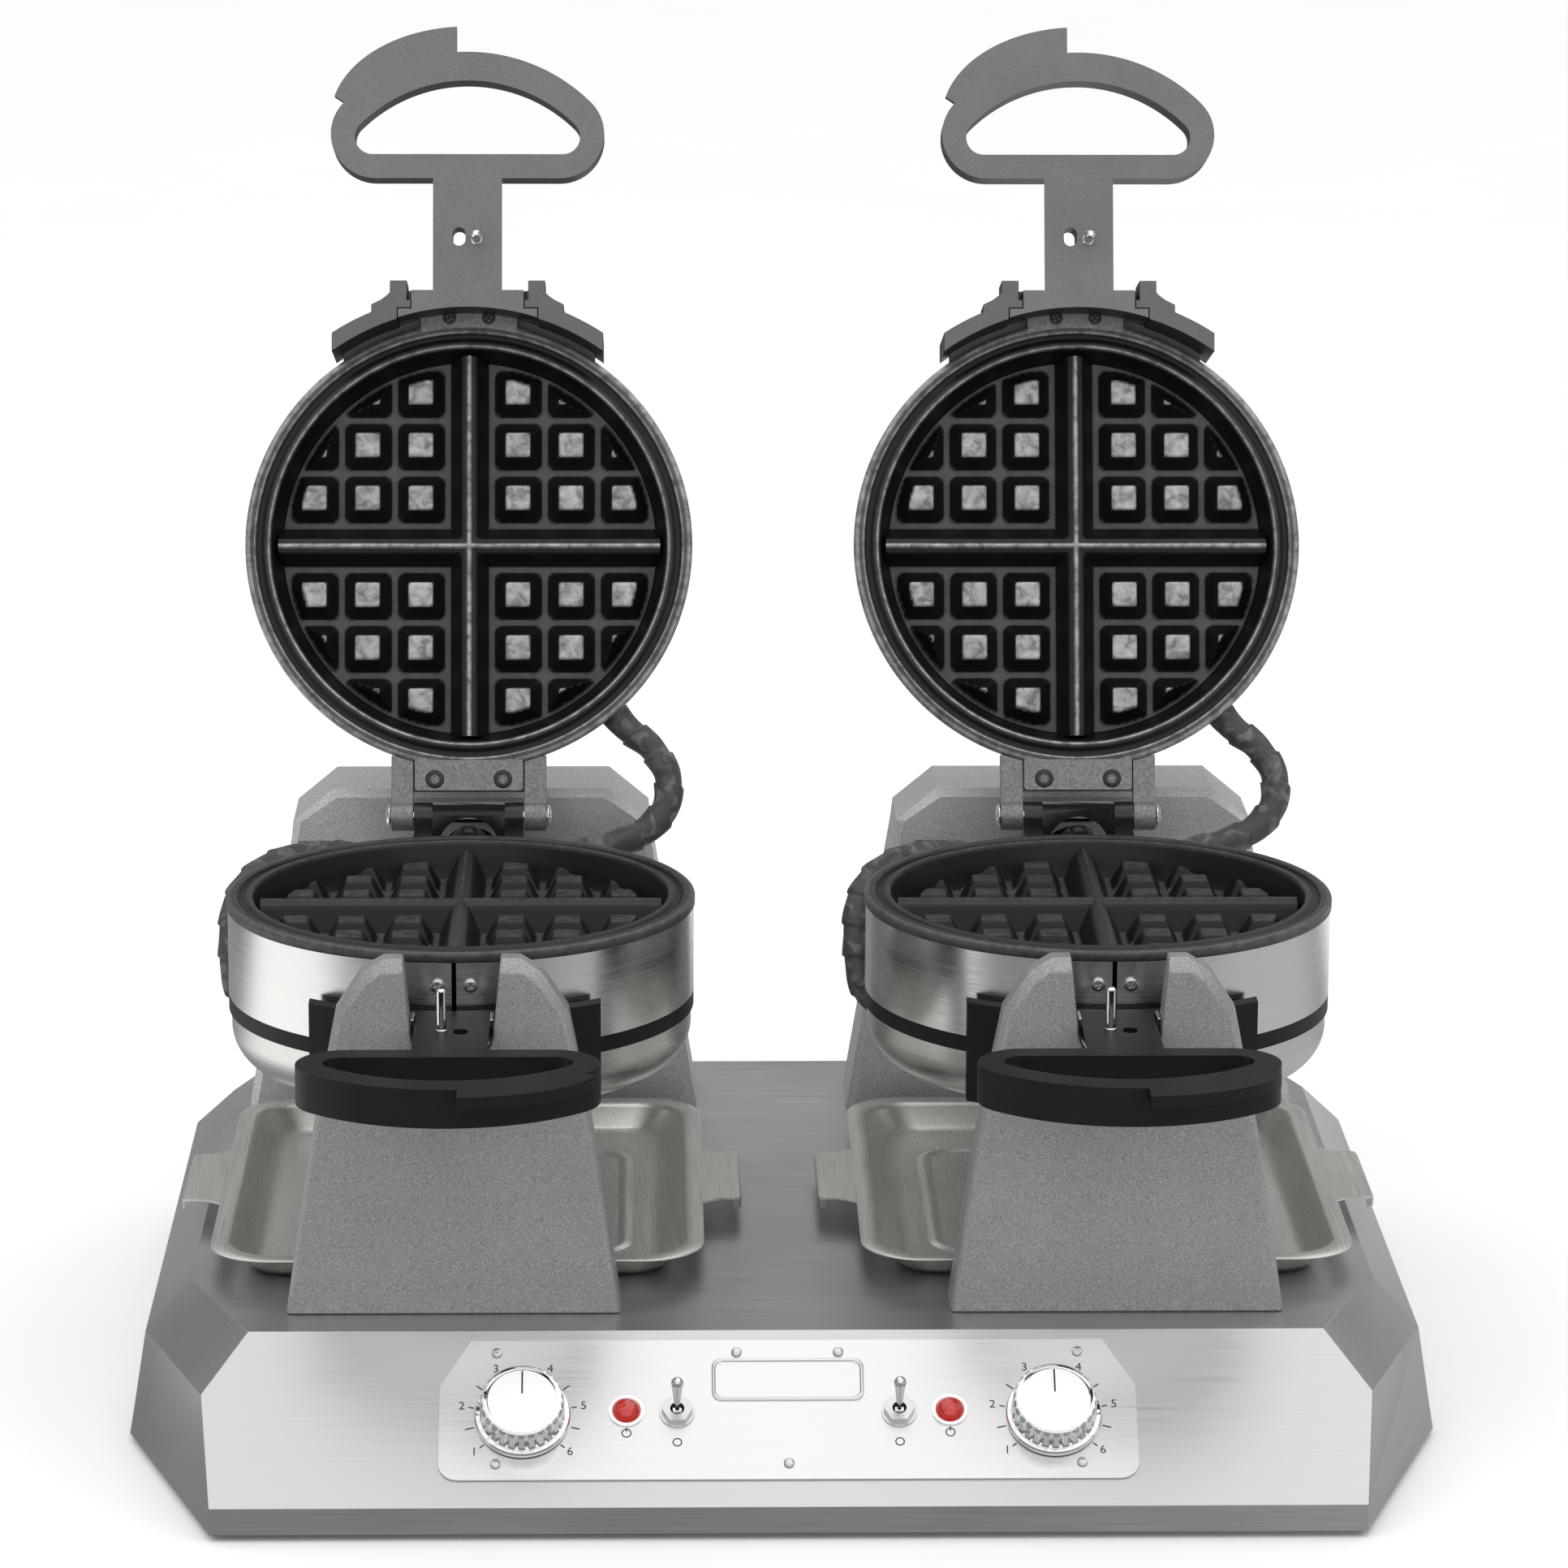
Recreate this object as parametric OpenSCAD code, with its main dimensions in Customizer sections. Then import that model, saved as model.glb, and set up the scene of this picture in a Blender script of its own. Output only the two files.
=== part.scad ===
/* [Base] */
// Half of the overall width at the foot of the base
base_half_w = 280.5; // [270:0.5:300]
// Half of the overall depth at the foot of the base
base_half_d = 236.2; // [230:0.2:260]
// Height of the rubber feet
foot_h = 3; // [2:0.5:8]
// Height of the top deck above the feet
deck_h = 65.5; // [60:0.5:80]
// Thickness of the sheet steel
sheet_t = 1.5; // [1:0.25:2]

/* [Units] */
// Distance of each cooking unit's centre from the middle
unit_x = 140; // [135:1:150]
// Height of the lower plate's rim above the table
rim_z = 215; // [210:1:240]
// Outer radius of a plate's rim
plate_r = 102.8; // [100:0.1:105]
// How far the turning axis lies below the rim
flip_drop = 24; // [22:0.5:26]
// Distance of the lid hinge behind a unit's centre
hinge_y = 125; // [124:0.5:128]
// Height of the lid hinge above the rim
hinge_rise = 3; // [2.5:0.5:4]
// How far the open lid leans back from upright
lid_lean = 17; // [5:1:19]

/* [Plates] */
// Depth of the batter cavity
cavity_depth = 16.5; // [14:0.5:17]
// Distance between neighbouring bumps
bump_pitch = 24.5; // [22:0.1:25]
// Width of a bump at its foot
bump_foot = 21.6; // [18:0.1:22]
// Width of a bump at its top
bump_top = 11; // [8:0.5:14]

/* [Posts and handles] */
// Radius of the half-round neck that turns in the front saddle
neck_r = 15.8; // [14:0.1:16]
// Radius of the rear axle
axle_r = 10; // [8:0.5:11]
// Length of the latch pin above the mating face
pin_len = 18.5; // [12:0.5:22]

/* [Trays] */
// Width of a tray over its rim
tray_w = 213; // [200:1:220]
// Depth of a tray over its rim
tray_d = 243; // [220:1:245]
// Height of a tray
tray_h = 12.5; // [8:0.5:16]

/* [Controls] */
// Radius of a knob's grip
knob_r = 17.5; // [15:0.5:20]
// Distance of each knob from the middle
knob_x = 110; // [105:1:112]
// Distance of each lamp from the middle
lamp_x = 67; // [64:0.5:72]
// Distance of each switch from the middle
switch_x = 46; // [44:0.5:48]

/* [Hidden] */
$fn = 96;
SIDES = ["left", "right"];
UNIT_PARTS = ["lid_cover", "lid_plate", "lid_bracket", "lid_handle", "lid_hinge_leaf",
    "lid_element", "lid_screws", "lid_latch_pin", "drum_bowl", "drum_band", "drum_plate",
    "drum_bracket", "drum_handle", "drum_latch_pin", "drum_element", "drum_screws",
    "hinge_yoke", "hinge_pin", "lid_cable", "drum_cable", "tray", "knob", "toggle",
    "front_post", "rear_post"];
SHARED_PARTS = ["base_shell", "base_floor", "feet", "control_panel", "panel_rivets",
    "lamps", "switch_bodies", "thermostats", "pivot_bushes", "rear_covers"];

// Levels and clearances
deck_z = foot_h + deck_h;
floor_z = foot_h;
gap = 0.3;
run = 0.05;

// Cooking drum, in millimetres below the rim plane
rim_t = 4.6;
band_bottom = 43;
ring_bottom = 50;
bowl_bottom = 75;
band_r = 102.2;
skin_t = 1.2;
cavity_r = 91;
grid_r = 85.4;
divider_drop = 3;
divider_top = 4.5;
divider_foot = 17;
first_bump = 22.4;
plate_floor_t = 5;
rim_screw = [9, -105];
pad_half_w = 22.4;
pad_r = 108.6;
lug_half_w = 25;
lug_y = 113.5;
leaf_screw = [15.6, 108];

// Bracket, handle and hinge
bracket_r = 113.4;
bracket_inner = 106.3;
bracket_half_w = 62;
bracket_depth = 44;
ear_y = 119;
root_half_w = 25.6;
root_y = 114.6;
flange_half_w = 31.8;
flange_y = 106.1;
pin_x = 4.2;
pin_d = 138;
pin_r = 2.1;
slot_w = 6;
slot_len = 8.5;
knuckle_r = 6.6;
hinge_pin_r = 3;

// Control panel: the sloping front face of the base
apron_h = 11.5;
panel_foot_y = -231.5;
panel_foot_z = floor_z + apron_h;
panel_head_y = -166;
panel_run = panel_head_y - panel_foot_y;
panel_rise = deck_z - panel_foot_z;
panel_slope = atan2(panel_rise, panel_run);
panel_t = 1;
controls_row = 42.5;

// Posts
post_front_y = -144.3;
post_back_y = -119.5;
saddle_r = 17.6;
rear_post_y = [152, 199.5];

// ---------- placing ----------

module unit(side) {
    translate([side * unit_x, 0, rim_z]) children();
}

// Turns a part that is drawn on the closed lid to where the open lid stands
module open_lid() {
    translate([0, hinge_y, hinge_rise])
        rotate([-(90 + lid_lean), 0, 0])
            translate([0, -hinge_y, -hinge_rise])
                children();
}

// The lid repeats the lower half, turned over about the turning axis
module turned_over() {
    translate([0, 0, -flip_drop])
        rotate([0, 180, 0])
            translate([0, 0, flip_drop])
                children();
}

// Stands a part on the sloping panel: X across, Y up the slope, Z out of it
module on_panel() {
    translate([0, panel_foot_y, panel_foot_z])
        rotate([panel_slope, 0, 0])
            children();
}

// ---------- shared outlines ----------

function arc(centre, r, from, to, steps) =
    [for (i = [0 : steps])
        let (a = from + (to - from) * i / steps)
        centre + r * [cos(a), sin(a)]];

function mirrored(points) =
    [for (i = [len(points) - 1 : -1 : 0]) [-points[i].x, points[i].y]];

// A bow over a straight foot: a wide arc whose ends turn into the foot with corners
module bow(centre_d, r, corner_r) {
    corner = (r - corner_r) * cos(45);
    side = concat(
        arc([corner, centre_d + corner], corner_r, -90, 45, 20),
        arc([0, centre_d], r, 46, 88.5, 22));
    polygon(concat(side, mirrored(side)));
}

function rect_points(w, d, r, z) =
    [for (q = [0 : 3])
        let (c = [[1, 1], [-1, 1], [-1, -1], [1, -1]][q])
        for (p = arc([c.x * (w / 2 - r), c.y * (d / 2 - r)], r, 90 * q, 90 * q + 90, 6))
            [p.x, p.y, z]];

// A tube's ring of points at each stop of a route
function unit_vec(v) = v / norm(v);
function route_dir(route, i) =
    unit_vec(route[min(i + 1, len(route) - 1)] - route[max(i - 1, 0)]);
function ring_points(route, i, r, sides) =
    let (t = route_dir(route, i))
    let (u = unit_vec(cross(t, [0.3, 0.2, 1])))
    let (v = cross(t, u))
    [for (k = [0 : sides - 1])
        route[i] + r * (cos(360 * k / sides) * u + sin(360 * k / sides) * v)];

// Catmull-Rom curve through hand-placed stops
function spline_point(p, i, t) =
    let (n = len(p) - 1)
    let (a = p[max(i - 1, 0)], b = p[i], c = p[min(i + 1, n)], d = p[min(i + 2, n)])
    0.5 * (2 * b + (c - a) * t + (2 * a - 5 * b + 4 * c - d) * t * t
        + (3 * b - a - 3 * c + d) * t * t * t);
function smooth_route(p, steps) =
    concat([for (i = [0 : len(p) - 2], k = [0 : steps - 1]) spline_point(p, i, k / steps)],
        [p[len(p) - 1]]);

// A closed solid through stacked outlines that have the same number of corners
module stacked(layers) {
    n = len(layers[0]);
    top = (len(layers) - 1) * n;
    points = [for (layer = layers) each layer];
    walls = [for (i = [0 : len(layers) - 2], k = [0 : n - 1])
        let (a = i * n + k, b = i * n + (k + 1) % n)
        each [[a, a + n, b + n], [a, b + n, b]]];
    foot = [[for (k = [0 : n - 1]) k]];
    head = [[for (k = [n - 1 : -1 : 0]) top + k]];
    polyhedron(points, concat(walls, foot, head));
}

module tube(route, r, sides) {
    stacked([for (i = [0 : len(route) - 1]) ring_points(route, i, r, sides)]);
}

// ---------- cooking plates ----------

// Ridges along X whose cross section is a trapezoid
module ridge(length, foot, top, height) {
    rotate([90, 0, 90])
        linear_extrude(length, center = true)
            polygon([[-foot / 2, 0], [foot / 2, 0], [top / 2, height], [-top / 2, height]]);
}

module bump_rows() {
    height = cavity_depth - divider_drop - 3.2;
    for (side = [-1, 1], i = [0 : 2])
        translate([0, side * (first_bump + i * bump_pitch), 0])
            ridge(2 * cavity_r, bump_foot, bump_top, height);
}

module waffle_pattern() {
    translate([0, 0, -cavity_depth]) {
        intersection() {
            bump_rows();
            rotate(90) bump_rows();
            cylinder(r = grid_r, h = cavity_depth);
        }
        intersection() {
            for (a = [0, 90])
                rotate(a)
                    translate([0, 0, -1])
                        ridge(2 * cavity_r + 2, divider_foot, divider_top,
                            cavity_depth + 1 - divider_drop);
            translate([0, 0, -1]) cylinder(r = cavity_r + 0.5, h = cavity_depth);
        }
    }
}

// Cast pan with a rim; the cavity faces up
module cast_plate() {
    under = -cavity_depth - plate_floor_t;
    union() {
        rotate_extrude()
            polygon([[0, under], [86, under], [94, -10], [94, -rim_t], [plate_r, -rim_t],
                [plate_r, -0.8], [plate_r - 0.8, 0], [98.6, 0], [97.4, -1.3], [95.2, -1.3],
                [94, 0], [92, 0], [cavity_r, -0.8], [87, -cavity_depth + 1.5],
                [grid_r, -cavity_depth], [0, -cavity_depth]]);
        waffle_pattern();
    }
}

// Countersunk holes for the two screws at the front of the lid's rim
module rim_screw_holes() {
    for (x = [-rim_screw.x, rim_screw.x])
        translate([x, rim_screw.y, 0]) {
            translate([0, 0, -rim_t - 1]) cylinder(r = 2, h = rim_t + 2);
            translate([0, 0, -1.6]) cylinder(r = 3.3, h = 3);
        }
}

module rim_screws() {
    for (x = [-rim_screw.x, rim_screw.x])
        translate([x, rim_screw.y, 0]) {
            translate([0, 0, -1.6]) cylinder(r = 3.2, h = 1.4);
            translate([0, 0, -rim_t]) cylinder(r = 1.9, h = rim_t - 1);
        }
}

module drum_plate() {
    color([0.12, 0.12, 0.13]) cast_plate();
}

// The lid's casting also carries the lug of the hinge and a pad with two screws
module lid_plate() {
    color([0.14, 0.14, 0.15])
        translate([0, 0, gap])
            difference() {
                union() {
                    mirror([0, 0, 1]) cast_plate();
                    ring_sector(plate_r - 2, pad_r, pad_half_w, 0, rim_t);
                    translate([-lug_half_w, 97, 0]) cube([2 * lug_half_w, lug_y - 97, rim_t]);
                }
                mirror([0, 0, 1]) rim_screw_holes();
                for (x = [-leaf_screw.x, leaf_screw.x])
                    translate([x, leaf_screw.y, -1]) {
                        cylinder(r = 2.2, h = 10);
                        cylinder(r = 4.45, h = 2.6);
                    }
            }
}

// Tubular heating element bent to an open ring, with two upright ends
module element() {
    tube_r = 3.3;
    ring_r = 62;
    rotate(-75)
        rotate_extrude(angle = 330)
            translate([ring_r, 0]) circle(tube_r);
    for (a = [-75, 255])
        rotate(a)
            translate([ring_r, 0, 0])
                mirror([0, 0, 1]) cylinder(r = tube_r, h = 14);
}

module drum_element() {
    color([0.35, 0.33, 0.32])
        translate([0, 0, -cavity_depth - plate_floor_t - 3.4]) element();
}

// The shallow lid takes a flat sheathed element
module lid_element() {
    color([0.35, 0.33, 0.32])
        translate([0, 0, gap + cavity_depth + plate_floor_t + 0.1])
            difference() {
                cylinder(r = 78, h = 2.6);
                translate([0, 0, -1]) cylinder(r = 50, h = 5);
            }
}

// ---------- drum and lid shells ----------

// Bottom shell with a rounded lower edge, closed below, open above
module bowl() {
    corner = 18;
    wall = band_r - 1.2;
    outside = concat([[0, -bowl_bottom]],
        arc([wall - corner, -bowl_bottom + corner], corner, -90, 0, 16),
        [[wall, -ring_bottom]]);
    inside = concat([[wall - skin_t, -ring_bottom]],
        arc([wall - corner, -bowl_bottom + corner], corner - skin_t, 0, -90, 16),
        [[0, -bowl_bottom + skin_t]]);
    rotate_extrude() polygon(concat(outside, inside));
}

module drum_bowl() {
    color([0.72, 0.71, 0.69]) bowl();
}

module lid_cover() {
    color([0.72, 0.71, 0.69])
        difference() {
            turned_over() bowl();
            translate([0, 0, -1]) cylinder(r = 110, h = 1 + rim_t + gap);
        }
}

// Steel strap around the drum, joined at the front with a narrow split
module drum_band() {
    color([0.76, 0.75, 0.73])
        difference() {
            translate([0, 0, -band_bottom])
                cylinder(r = band_r, h = band_bottom - rim_t);
            translate([0, 0, -band_bottom - 1])
                cylinder(r = band_r - skin_t, h = band_bottom);
            translate([-1, -band_r - 1, -band_bottom - 1]) cube([2, 5, band_bottom]);
            for (x = [-7, 7])
                translate([x, -band_r - 1, -14.5])
                    rotate([-90, 0, 0]) cylinder(r = 1.6, h = 8);
        }
}

// ---------- brackets and handles ----------

module ring_sector(inner, outer, half_w, z_from, z_to) {
    translate([0, 0, z_from])
        intersection() {
            linear_extrude(z_to - z_from)
                difference() {
                    circle(outer);
                    circle(inner);
                }
            translate([-half_w, -outer - 1, 0]) cube([2 * half_w, outer, z_to - z_from]);
        }
}

// Cast bracket that hugs the front of the shell and holds the handle's root
module bracket(pocket_h) {
    top = -flip_drop - gap;
    foot = -flip_drop - bracket_depth;
    gusset = [[34, -100], [34, -115.5], [36.4, -112.6], [39.5, -110.2], [44, -108], [44, -100]];
    difference() {
        union() {
            ring_sector(bracket_inner, bracket_r, bracket_half_w, foot, top);
            translate([-34, -118.3, foot]) cube([68, 16, bracket_depth - pocket_h + 1]);
            for (side = [-1, 1]) {
                translate([side * 31.6 - 3.9, -ear_y, top - 22]) cube([7.8, 16, 22]);
                mirror([side < 0 ? 1 : 0, 0, 0])
                    translate([0, 0, top - 22]) linear_extrude(22) polygon(gusset);
            }
        }
        translate([0, 0, foot - 1]) cylinder(r = bracket_inner, h = bracket_depth + 2);
        translate([-root_half_w - 0.4, -130, top - pocket_h])
            cube([2 * root_half_w + 0.8, 40, pocket_h + 1]);
        translate([-flange_half_w - 0.4, -flange_y - 0.4, top - pocket_h])
            cube([2 * flange_half_w + 0.8, 40, pocket_h + 1]);
    }
}

module drum_ring() {
    translate([0, 0, -ring_bottom])
        difference() {
            cylinder(r = band_r, h = ring_bottom - band_bottom);
            translate([0, 0, -1]) cylinder(r = 96, h = 20);
        }
}

module drum_bracket() {
    color([0.15, 0.15, 0.155])
        union() {
            bracket(23);
            drum_ring();
            ring_sector(band_r - 1, bracket_r - 4, bracket_half_w - 4,
                -ring_bottom, -band_bottom - 4.5);
        }
}

module lid_bracket() {
    cover_r = band_r - 1.2;
    web_from = -2 * flip_drop - 14;
    color([0.15, 0.15, 0.155])
        turned_over() {
            bracket(30);
            ring_sector(cover_r + gap, bracket_inner + 1, bracket_half_w - 4, web_from,
                web_from + 8.8);
        }
}

// Grip ring with a thumb flange on one half; distances run out from the unit's centre
module grip_outline(with_flange) {
    difference() {
        union() {
            bow(144.5, 80, 20.5);
            if (with_flange)
                polygon(concat(
                    [[4.9, 200]],
                    [for (i = [0 : 20]) let (a = 90 - 4.5 - i * 3.6)
                        [62.6 * cos(a), 194.2 + 42 * sin(a)]],
                    [[40, 190]]));
        }
        bow(141.7, 69.5, 8);
    }
}

module handle() {
    grip_t = 16.4;
    flange_t = 5.2;
    top = -flip_drop - gap / 2;
    difference() {
        union() {
            mirror([0, 1, 0])
                translate([0, 0, top - grip_t]) linear_extrude(grip_t) grip_outline(false);
            mirror([0, 1, 0])
                translate([0, 0, top - flange_t]) linear_extrude(flange_t) grip_outline(true);
            intersection() {
                translate([0, -104, -flip_drop])
                    rotate([90, 0, 0]) cylinder(r = neck_r, h = 70);
                translate([-20, -171, top - 40]) cube([40, 80, 40]);
            }
            translate([-root_half_w, -root_y, top - 22])
                cube([2 * root_half_w, 14, 22]);
            translate([-flange_half_w, -flange_y, top - 18.5])
                cube([2 * flange_half_w, 12, 18.5]);
        }
        translate([0, 0, top - 60]) cylinder(r = bracket_inner + 0.6, h = 70);
        translate([-pin_x, -pin_d, top - 10]) cylinder(r = pin_r, h = 12);
        latch_slot(top);
    }
}

// Rounded slot that takes the other handle's pin
module latch_slot(top) {
    reach = (slot_len - slot_w) / 2;
    translate([pin_x - 0.3, -pin_d - 1.2, top - 30]) {
        for (side = [-1, 1])
            translate([0, side * reach, 0]) cylinder(r = slot_w / 2, h = 40);
        translate([-slot_w / 2, -reach, 0]) cube([slot_w, 2 * reach, 40]);
    }
}

module latch_pin() {
    top = -flip_drop - gap / 2;
    union() {
        translate([-pin_x, -pin_d, top - 10]) cylinder(r = pin_r, h = 10 + pin_len - 1);
        translate([-pin_x, -pin_d, top + pin_len - 1]) cylinder(r1 = pin_r, r2 = 1.2, h = 1);
    }
}

module drum_handle() {
    color([0.16, 0.16, 0.165]) handle();
}

module lid_handle() {
    color([0.16, 0.16, 0.165]) turned_over() handle();
}

module drum_latch_pin() {
    color([0.8, 0.8, 0.8]) latch_pin();
}

module lid_latch_pin() {
    color([0.8, 0.8, 0.8]) turned_over() latch_pin();
}

// ---------- hinge ----------

module along_x(x_from, x_to, y, z, r) {
    translate([x_from, y, z]) rotate([0, 90, 0]) cylinder(r = r, h = x_to - x_from);
}

// Arms and knuckles behind the lid plate's lug
module lid_hinge_leaf() {
    inner = 25.5;
    outer = 35.5;
    foot = gap + 0.4;
    thick = 8.9;
    color([0.38, 0.38, 0.39])
        difference() {
            union() {
                translate([-outer, 99, gap + rim_t])
                    cube([2 * outer, lug_y - 99, foot + thick - gap - rim_t]);
                for (side = [-1, 1])
                    mirror([side < 0 ? 1 : 0, 0, 0]) {
                        translate([inner, 97, foot]) cube([outer - inner, hinge_y - 97, thick]);
                        along_x(inner, outer, hinge_y, hinge_rise, knuckle_r);
                    }
            }
            translate([0, 0, -5]) cylinder(r = plate_r + 0.2, h = 5 + gap + rim_t);
            cylinder(r = band_r - 0.9, h = 30);
            along_x(-50, 50, hinge_y, hinge_rise, hinge_pin_r + run);
            for (x = [-leaf_screw.x, leaf_screw.x])
                translate([x, leaf_screw.y, -1]) cylinder(r = 2.2, h = 20);
        }
}

// Cast yoke on the back of the drum: hinge knuckles, bridge and rear axle
module hinge_yoke() {
    inner = 16.5;
    outer = 25;
    hub_r = 21;
    wire_bore = 5;
    axle_from = 119;
    color([0.3, 0.3, 0.31])
        difference() {
            union() {
                translate([0, 100, -flip_drop]) rotate([-90, 0, 0]) cylinder(r = hub_r, h = 20);
                translate([-26, 92, 1 - band_bottom]) cube([52, 13, band_bottom - 8]);
                for (side = [-1, 1])
                    mirror([side < 0 ? 1 : 0, 0, 0]) {
                        translate([inner, 104, -16]) cube([outer - inner, 21, 13]);
                        translate([inner, hinge_y - knuckle_r, -14])
                            cube([outer - inner, 2 * knuckle_r, 14 + hinge_rise]);
                        along_x(inner, outer, hinge_y, hinge_rise, knuckle_r);
                    }
                difference() {
                    translate([-inner - 0.1, 119, -11]) cube([2 * inner + 0.2, 11.6, 19.5]);
                    translate([0, 110, -10]) rotate([-90, 0, 0]) cylinder(r = 13.8, h = 40);
                }
                translate([0, 106, -9]) rotate([-90, 0, 0]) cylinder(r = 9, h = 13);
                translate([0, axle_from - 1, -flip_drop])
                    rotate([-90, 0, 0]) cylinder(r = axle_r, h = rear_post_y[1] - axle_from - 5);
            }
            cylinder(r = band_r, h = 200, center = true);
            translate([0, 0, -rim_t - gap]) cylinder(r = plate_r + gap, h = 20);
            translate([0, 111, -9]) rotate([-90, 0, 0]) cylinder(r = 7.6, h = 9);
            along_x(-50, 50, hinge_y, hinge_rise, hinge_pin_r);
            translate([0, 60, -flip_drop]) rotate([-90, 0, 0]) cylinder(r = wire_bore, h = 160);
        }
}

module hinge_pin() {
    head_r = 5.6;
    color([0.55, 0.55, 0.56]) {
        along_x(-37.4, 37.4, hinge_y, hinge_rise, hinge_pin_r);
        for (side = [-1, 1])
            translate([side * 36, hinge_y, hinge_rise])
                rotate([0, side * 90, 0])
                    rotate_extrude()
                        polygon(concat([[0, 0]], [[head_r, 0]],
                            [for (i = [1 : 8]) [head_r * cos(i * 11.25), 2.6 * sin(i * 11.25)]]));
    }
}

// ---------- small fasteners ----------

// Screws of the band's joint and the axle's retaining ring
module drum_screws() {
    color([0.7, 0.7, 0.7]) {
        for (x = [-7, 7])
            translate([x, -band_r - 0.4, -14.5])
                rotate([90, 0, 0]) {
                    translate([0, 0, 0.1]) cylinder(r = 3, h = 1.6);
                    translate([0, 0, -6]) cylinder(r = 1.5, h = 7);
                }
        translate([0, rear_post_y[1] - 7.5, -flip_drop])
            rotate([90, 0, 0])
                difference() {
                    cylinder(r = axle_r + 2.4, h = 1.6);
                    translate([0, 0, -1]) cylinder(r = axle_r, h = 4);
                }
    }
}

module lid_screws() {
    color([0.12, 0.12, 0.12])
        translate([0, 0, gap]) {
            mirror([0, 0, 1]) rim_screws();
            for (x = [-leaf_screw.x, leaf_screw.x])
                translate([x, leaf_screw.y, 0]) {
                    translate([0, 0, 0.2]) cylinder(r = 4.35, h = 1.4);
                    translate([0, 0, 1]) cylinder(r = 2.1, h = 7);
                }
        }
}

// ---------- cables ----------

cable_r = 6.9;
drum_cable_stops = [[-20.6, 113, -24], [-36, 112, -18], [-56, 104, -10], [-76, 93, -8],
    [-93, 77, -11], [-102, 62, -20], [-104, 52, -34], [-103, 44, -49], [-99, 39.5, -58],
    [-93.6, 36.5, -61]];
lid_cable_stops = [[20.6, 113, -24], [38, 118, -17], [56, 121, -12], [72, 124, -8],
    [84, 127, -2], [91, 131, 8], [91, 136, 20], [84, 141, 31], [71.8, 145.8, 40.3],
    [66.8, 147.5, 46]];

module drum_cable() {
    color([0.16, 0.16, 0.17]) tube(smooth_route(drum_cable_stops, 3), cable_r, 10);
}

module lid_cable() {
    color([0.16, 0.16, 0.17]) tube(smooth_route(lid_cable_stops, 3), cable_r, 10);
}

// ---------- trays ----------

module tray() {
    rim_w = 9;
    draft = 9;
    steel = 0.9;
    corner = 26;
    ear_half = 36;
    ear_reach = 16;
    function wall(inset, z) =
        rect_points(tray_w - 2 * inset, tray_d - 2 * inset, corner - inset * 0.6, z);
    color([0.66, 0.64, 0.6])
        translate([0, 11.5, 0])
            difference() {
                union() {
                    stacked([wall(0, tray_h - steel), wall(0, tray_h)]);
                    stacked([wall(rim_w + draft, 0), wall(rim_w, tray_h - steel / 2)]);
                    for (x = [-1, 1])
                        translate([x * tray_w / 2, 0, tray_h]) {
                            translate([-ear_reach, -ear_half, -steel])
                                cube([2 * ear_reach, 2 * ear_half, steel]);
                            translate([x * ear_reach - 0.6, -ear_half, -5])
                                cube([1.2, 2 * ear_half, 5]);
                        }
                }
                stacked([wall(rim_w + draft + steel, steel), wall(rim_w + steel, tray_h + steel)]);
            }
}

// ---------- posts ----------

// Outline of both halves of a post's face at a depth set by the face's slope
function post_layer(half, foot_y, top_y) =
    let (foot = deck_z - rim_z)
    let (all = concat(half, [for (i = [len(half) - 1 : -1 : 0]) [-half[i].x, half[i].y]]))
    [for (p = all) [p.x, foot_y + (top_y - foot_y) * (p.y - foot) / (0 - foot), p.y]];

module front_post() {
    foot = deck_z - rim_z;
    top_front_y = -132.5;
    chamfer = 4;
    back = [[70.6, foot], [59.6, -73], [48.8, -17.4], [38, -1], [28.6, 4.6]];
    face = [[69.2, foot], [58, -74], [46.6, -19], [36, -5], [30, -0.4]];
    color([0.62, 0.62, 0.63])
        difference() {
            stacked([post_layer(back, post_back_y, post_back_y),
                post_layer(back, post_front_y + 1.4, top_front_y + chamfer),
                post_layer(face, post_front_y, top_front_y)]);
            translate([0, 0, -flip_drop])
                rotate([90, 0, 0]) cylinder(r = saddle_r, h = 200);
            rotate([90, 0, 0])
                linear_extrude(200)
                    polygon([[-saddle_r, -flip_drop], [saddle_r, -flip_drop],
                        [20.5, 5], [20.5, 20], [-20.5, 20], [-20.5, 5]]);
        }
}

function rear_outline(inset) =
    let (foot = deck_z - rim_z)
    let (half = [[105 - inset, foot], [83.2 - inset, -14], [82.4 - inset, -6.5],
        [63.8 - inset / 2, 8.9 - inset]])
    concat(half, mirrored(half));

// Hollow rear post with a bored boss for the axle's bush, open at the back
module rear_post() {
    wall = 4;
    chamfer = 3.6;
    depth = rear_post_y[1] - rear_post_y[0];
    color([0.62, 0.62, 0.63])
        translate([0, rear_post_y[1], 0])
            rotate([90, 0, 0])
                difference() {
                    union() {
                        difference() {
                            linear_extrude(depth - chamfer) polygon(rear_outline(0));
                            translate([0, 0, -1])
                                linear_extrude(depth - wall - 1) polygon(rear_outline(wall));
                            translate([-101, deck_z - rim_z - 1, -1])
                                cube([202, 2, depth - wall - 1]);
                        }
                        stacked([for (c = [0, 1])
                            [for (p = rear_outline(c * chamfer))
                                [p.x, max(p.y, deck_z - rim_z), depth - chamfer + c * chamfer]]]);
                        translate([0, -flip_drop, 8]) cylinder(r = 20, h = depth - 8);
                    }
                    translate([0, -flip_drop, -1]) cylinder(r = axle_r + 3.5, h = depth + 2);
                }
}

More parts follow.
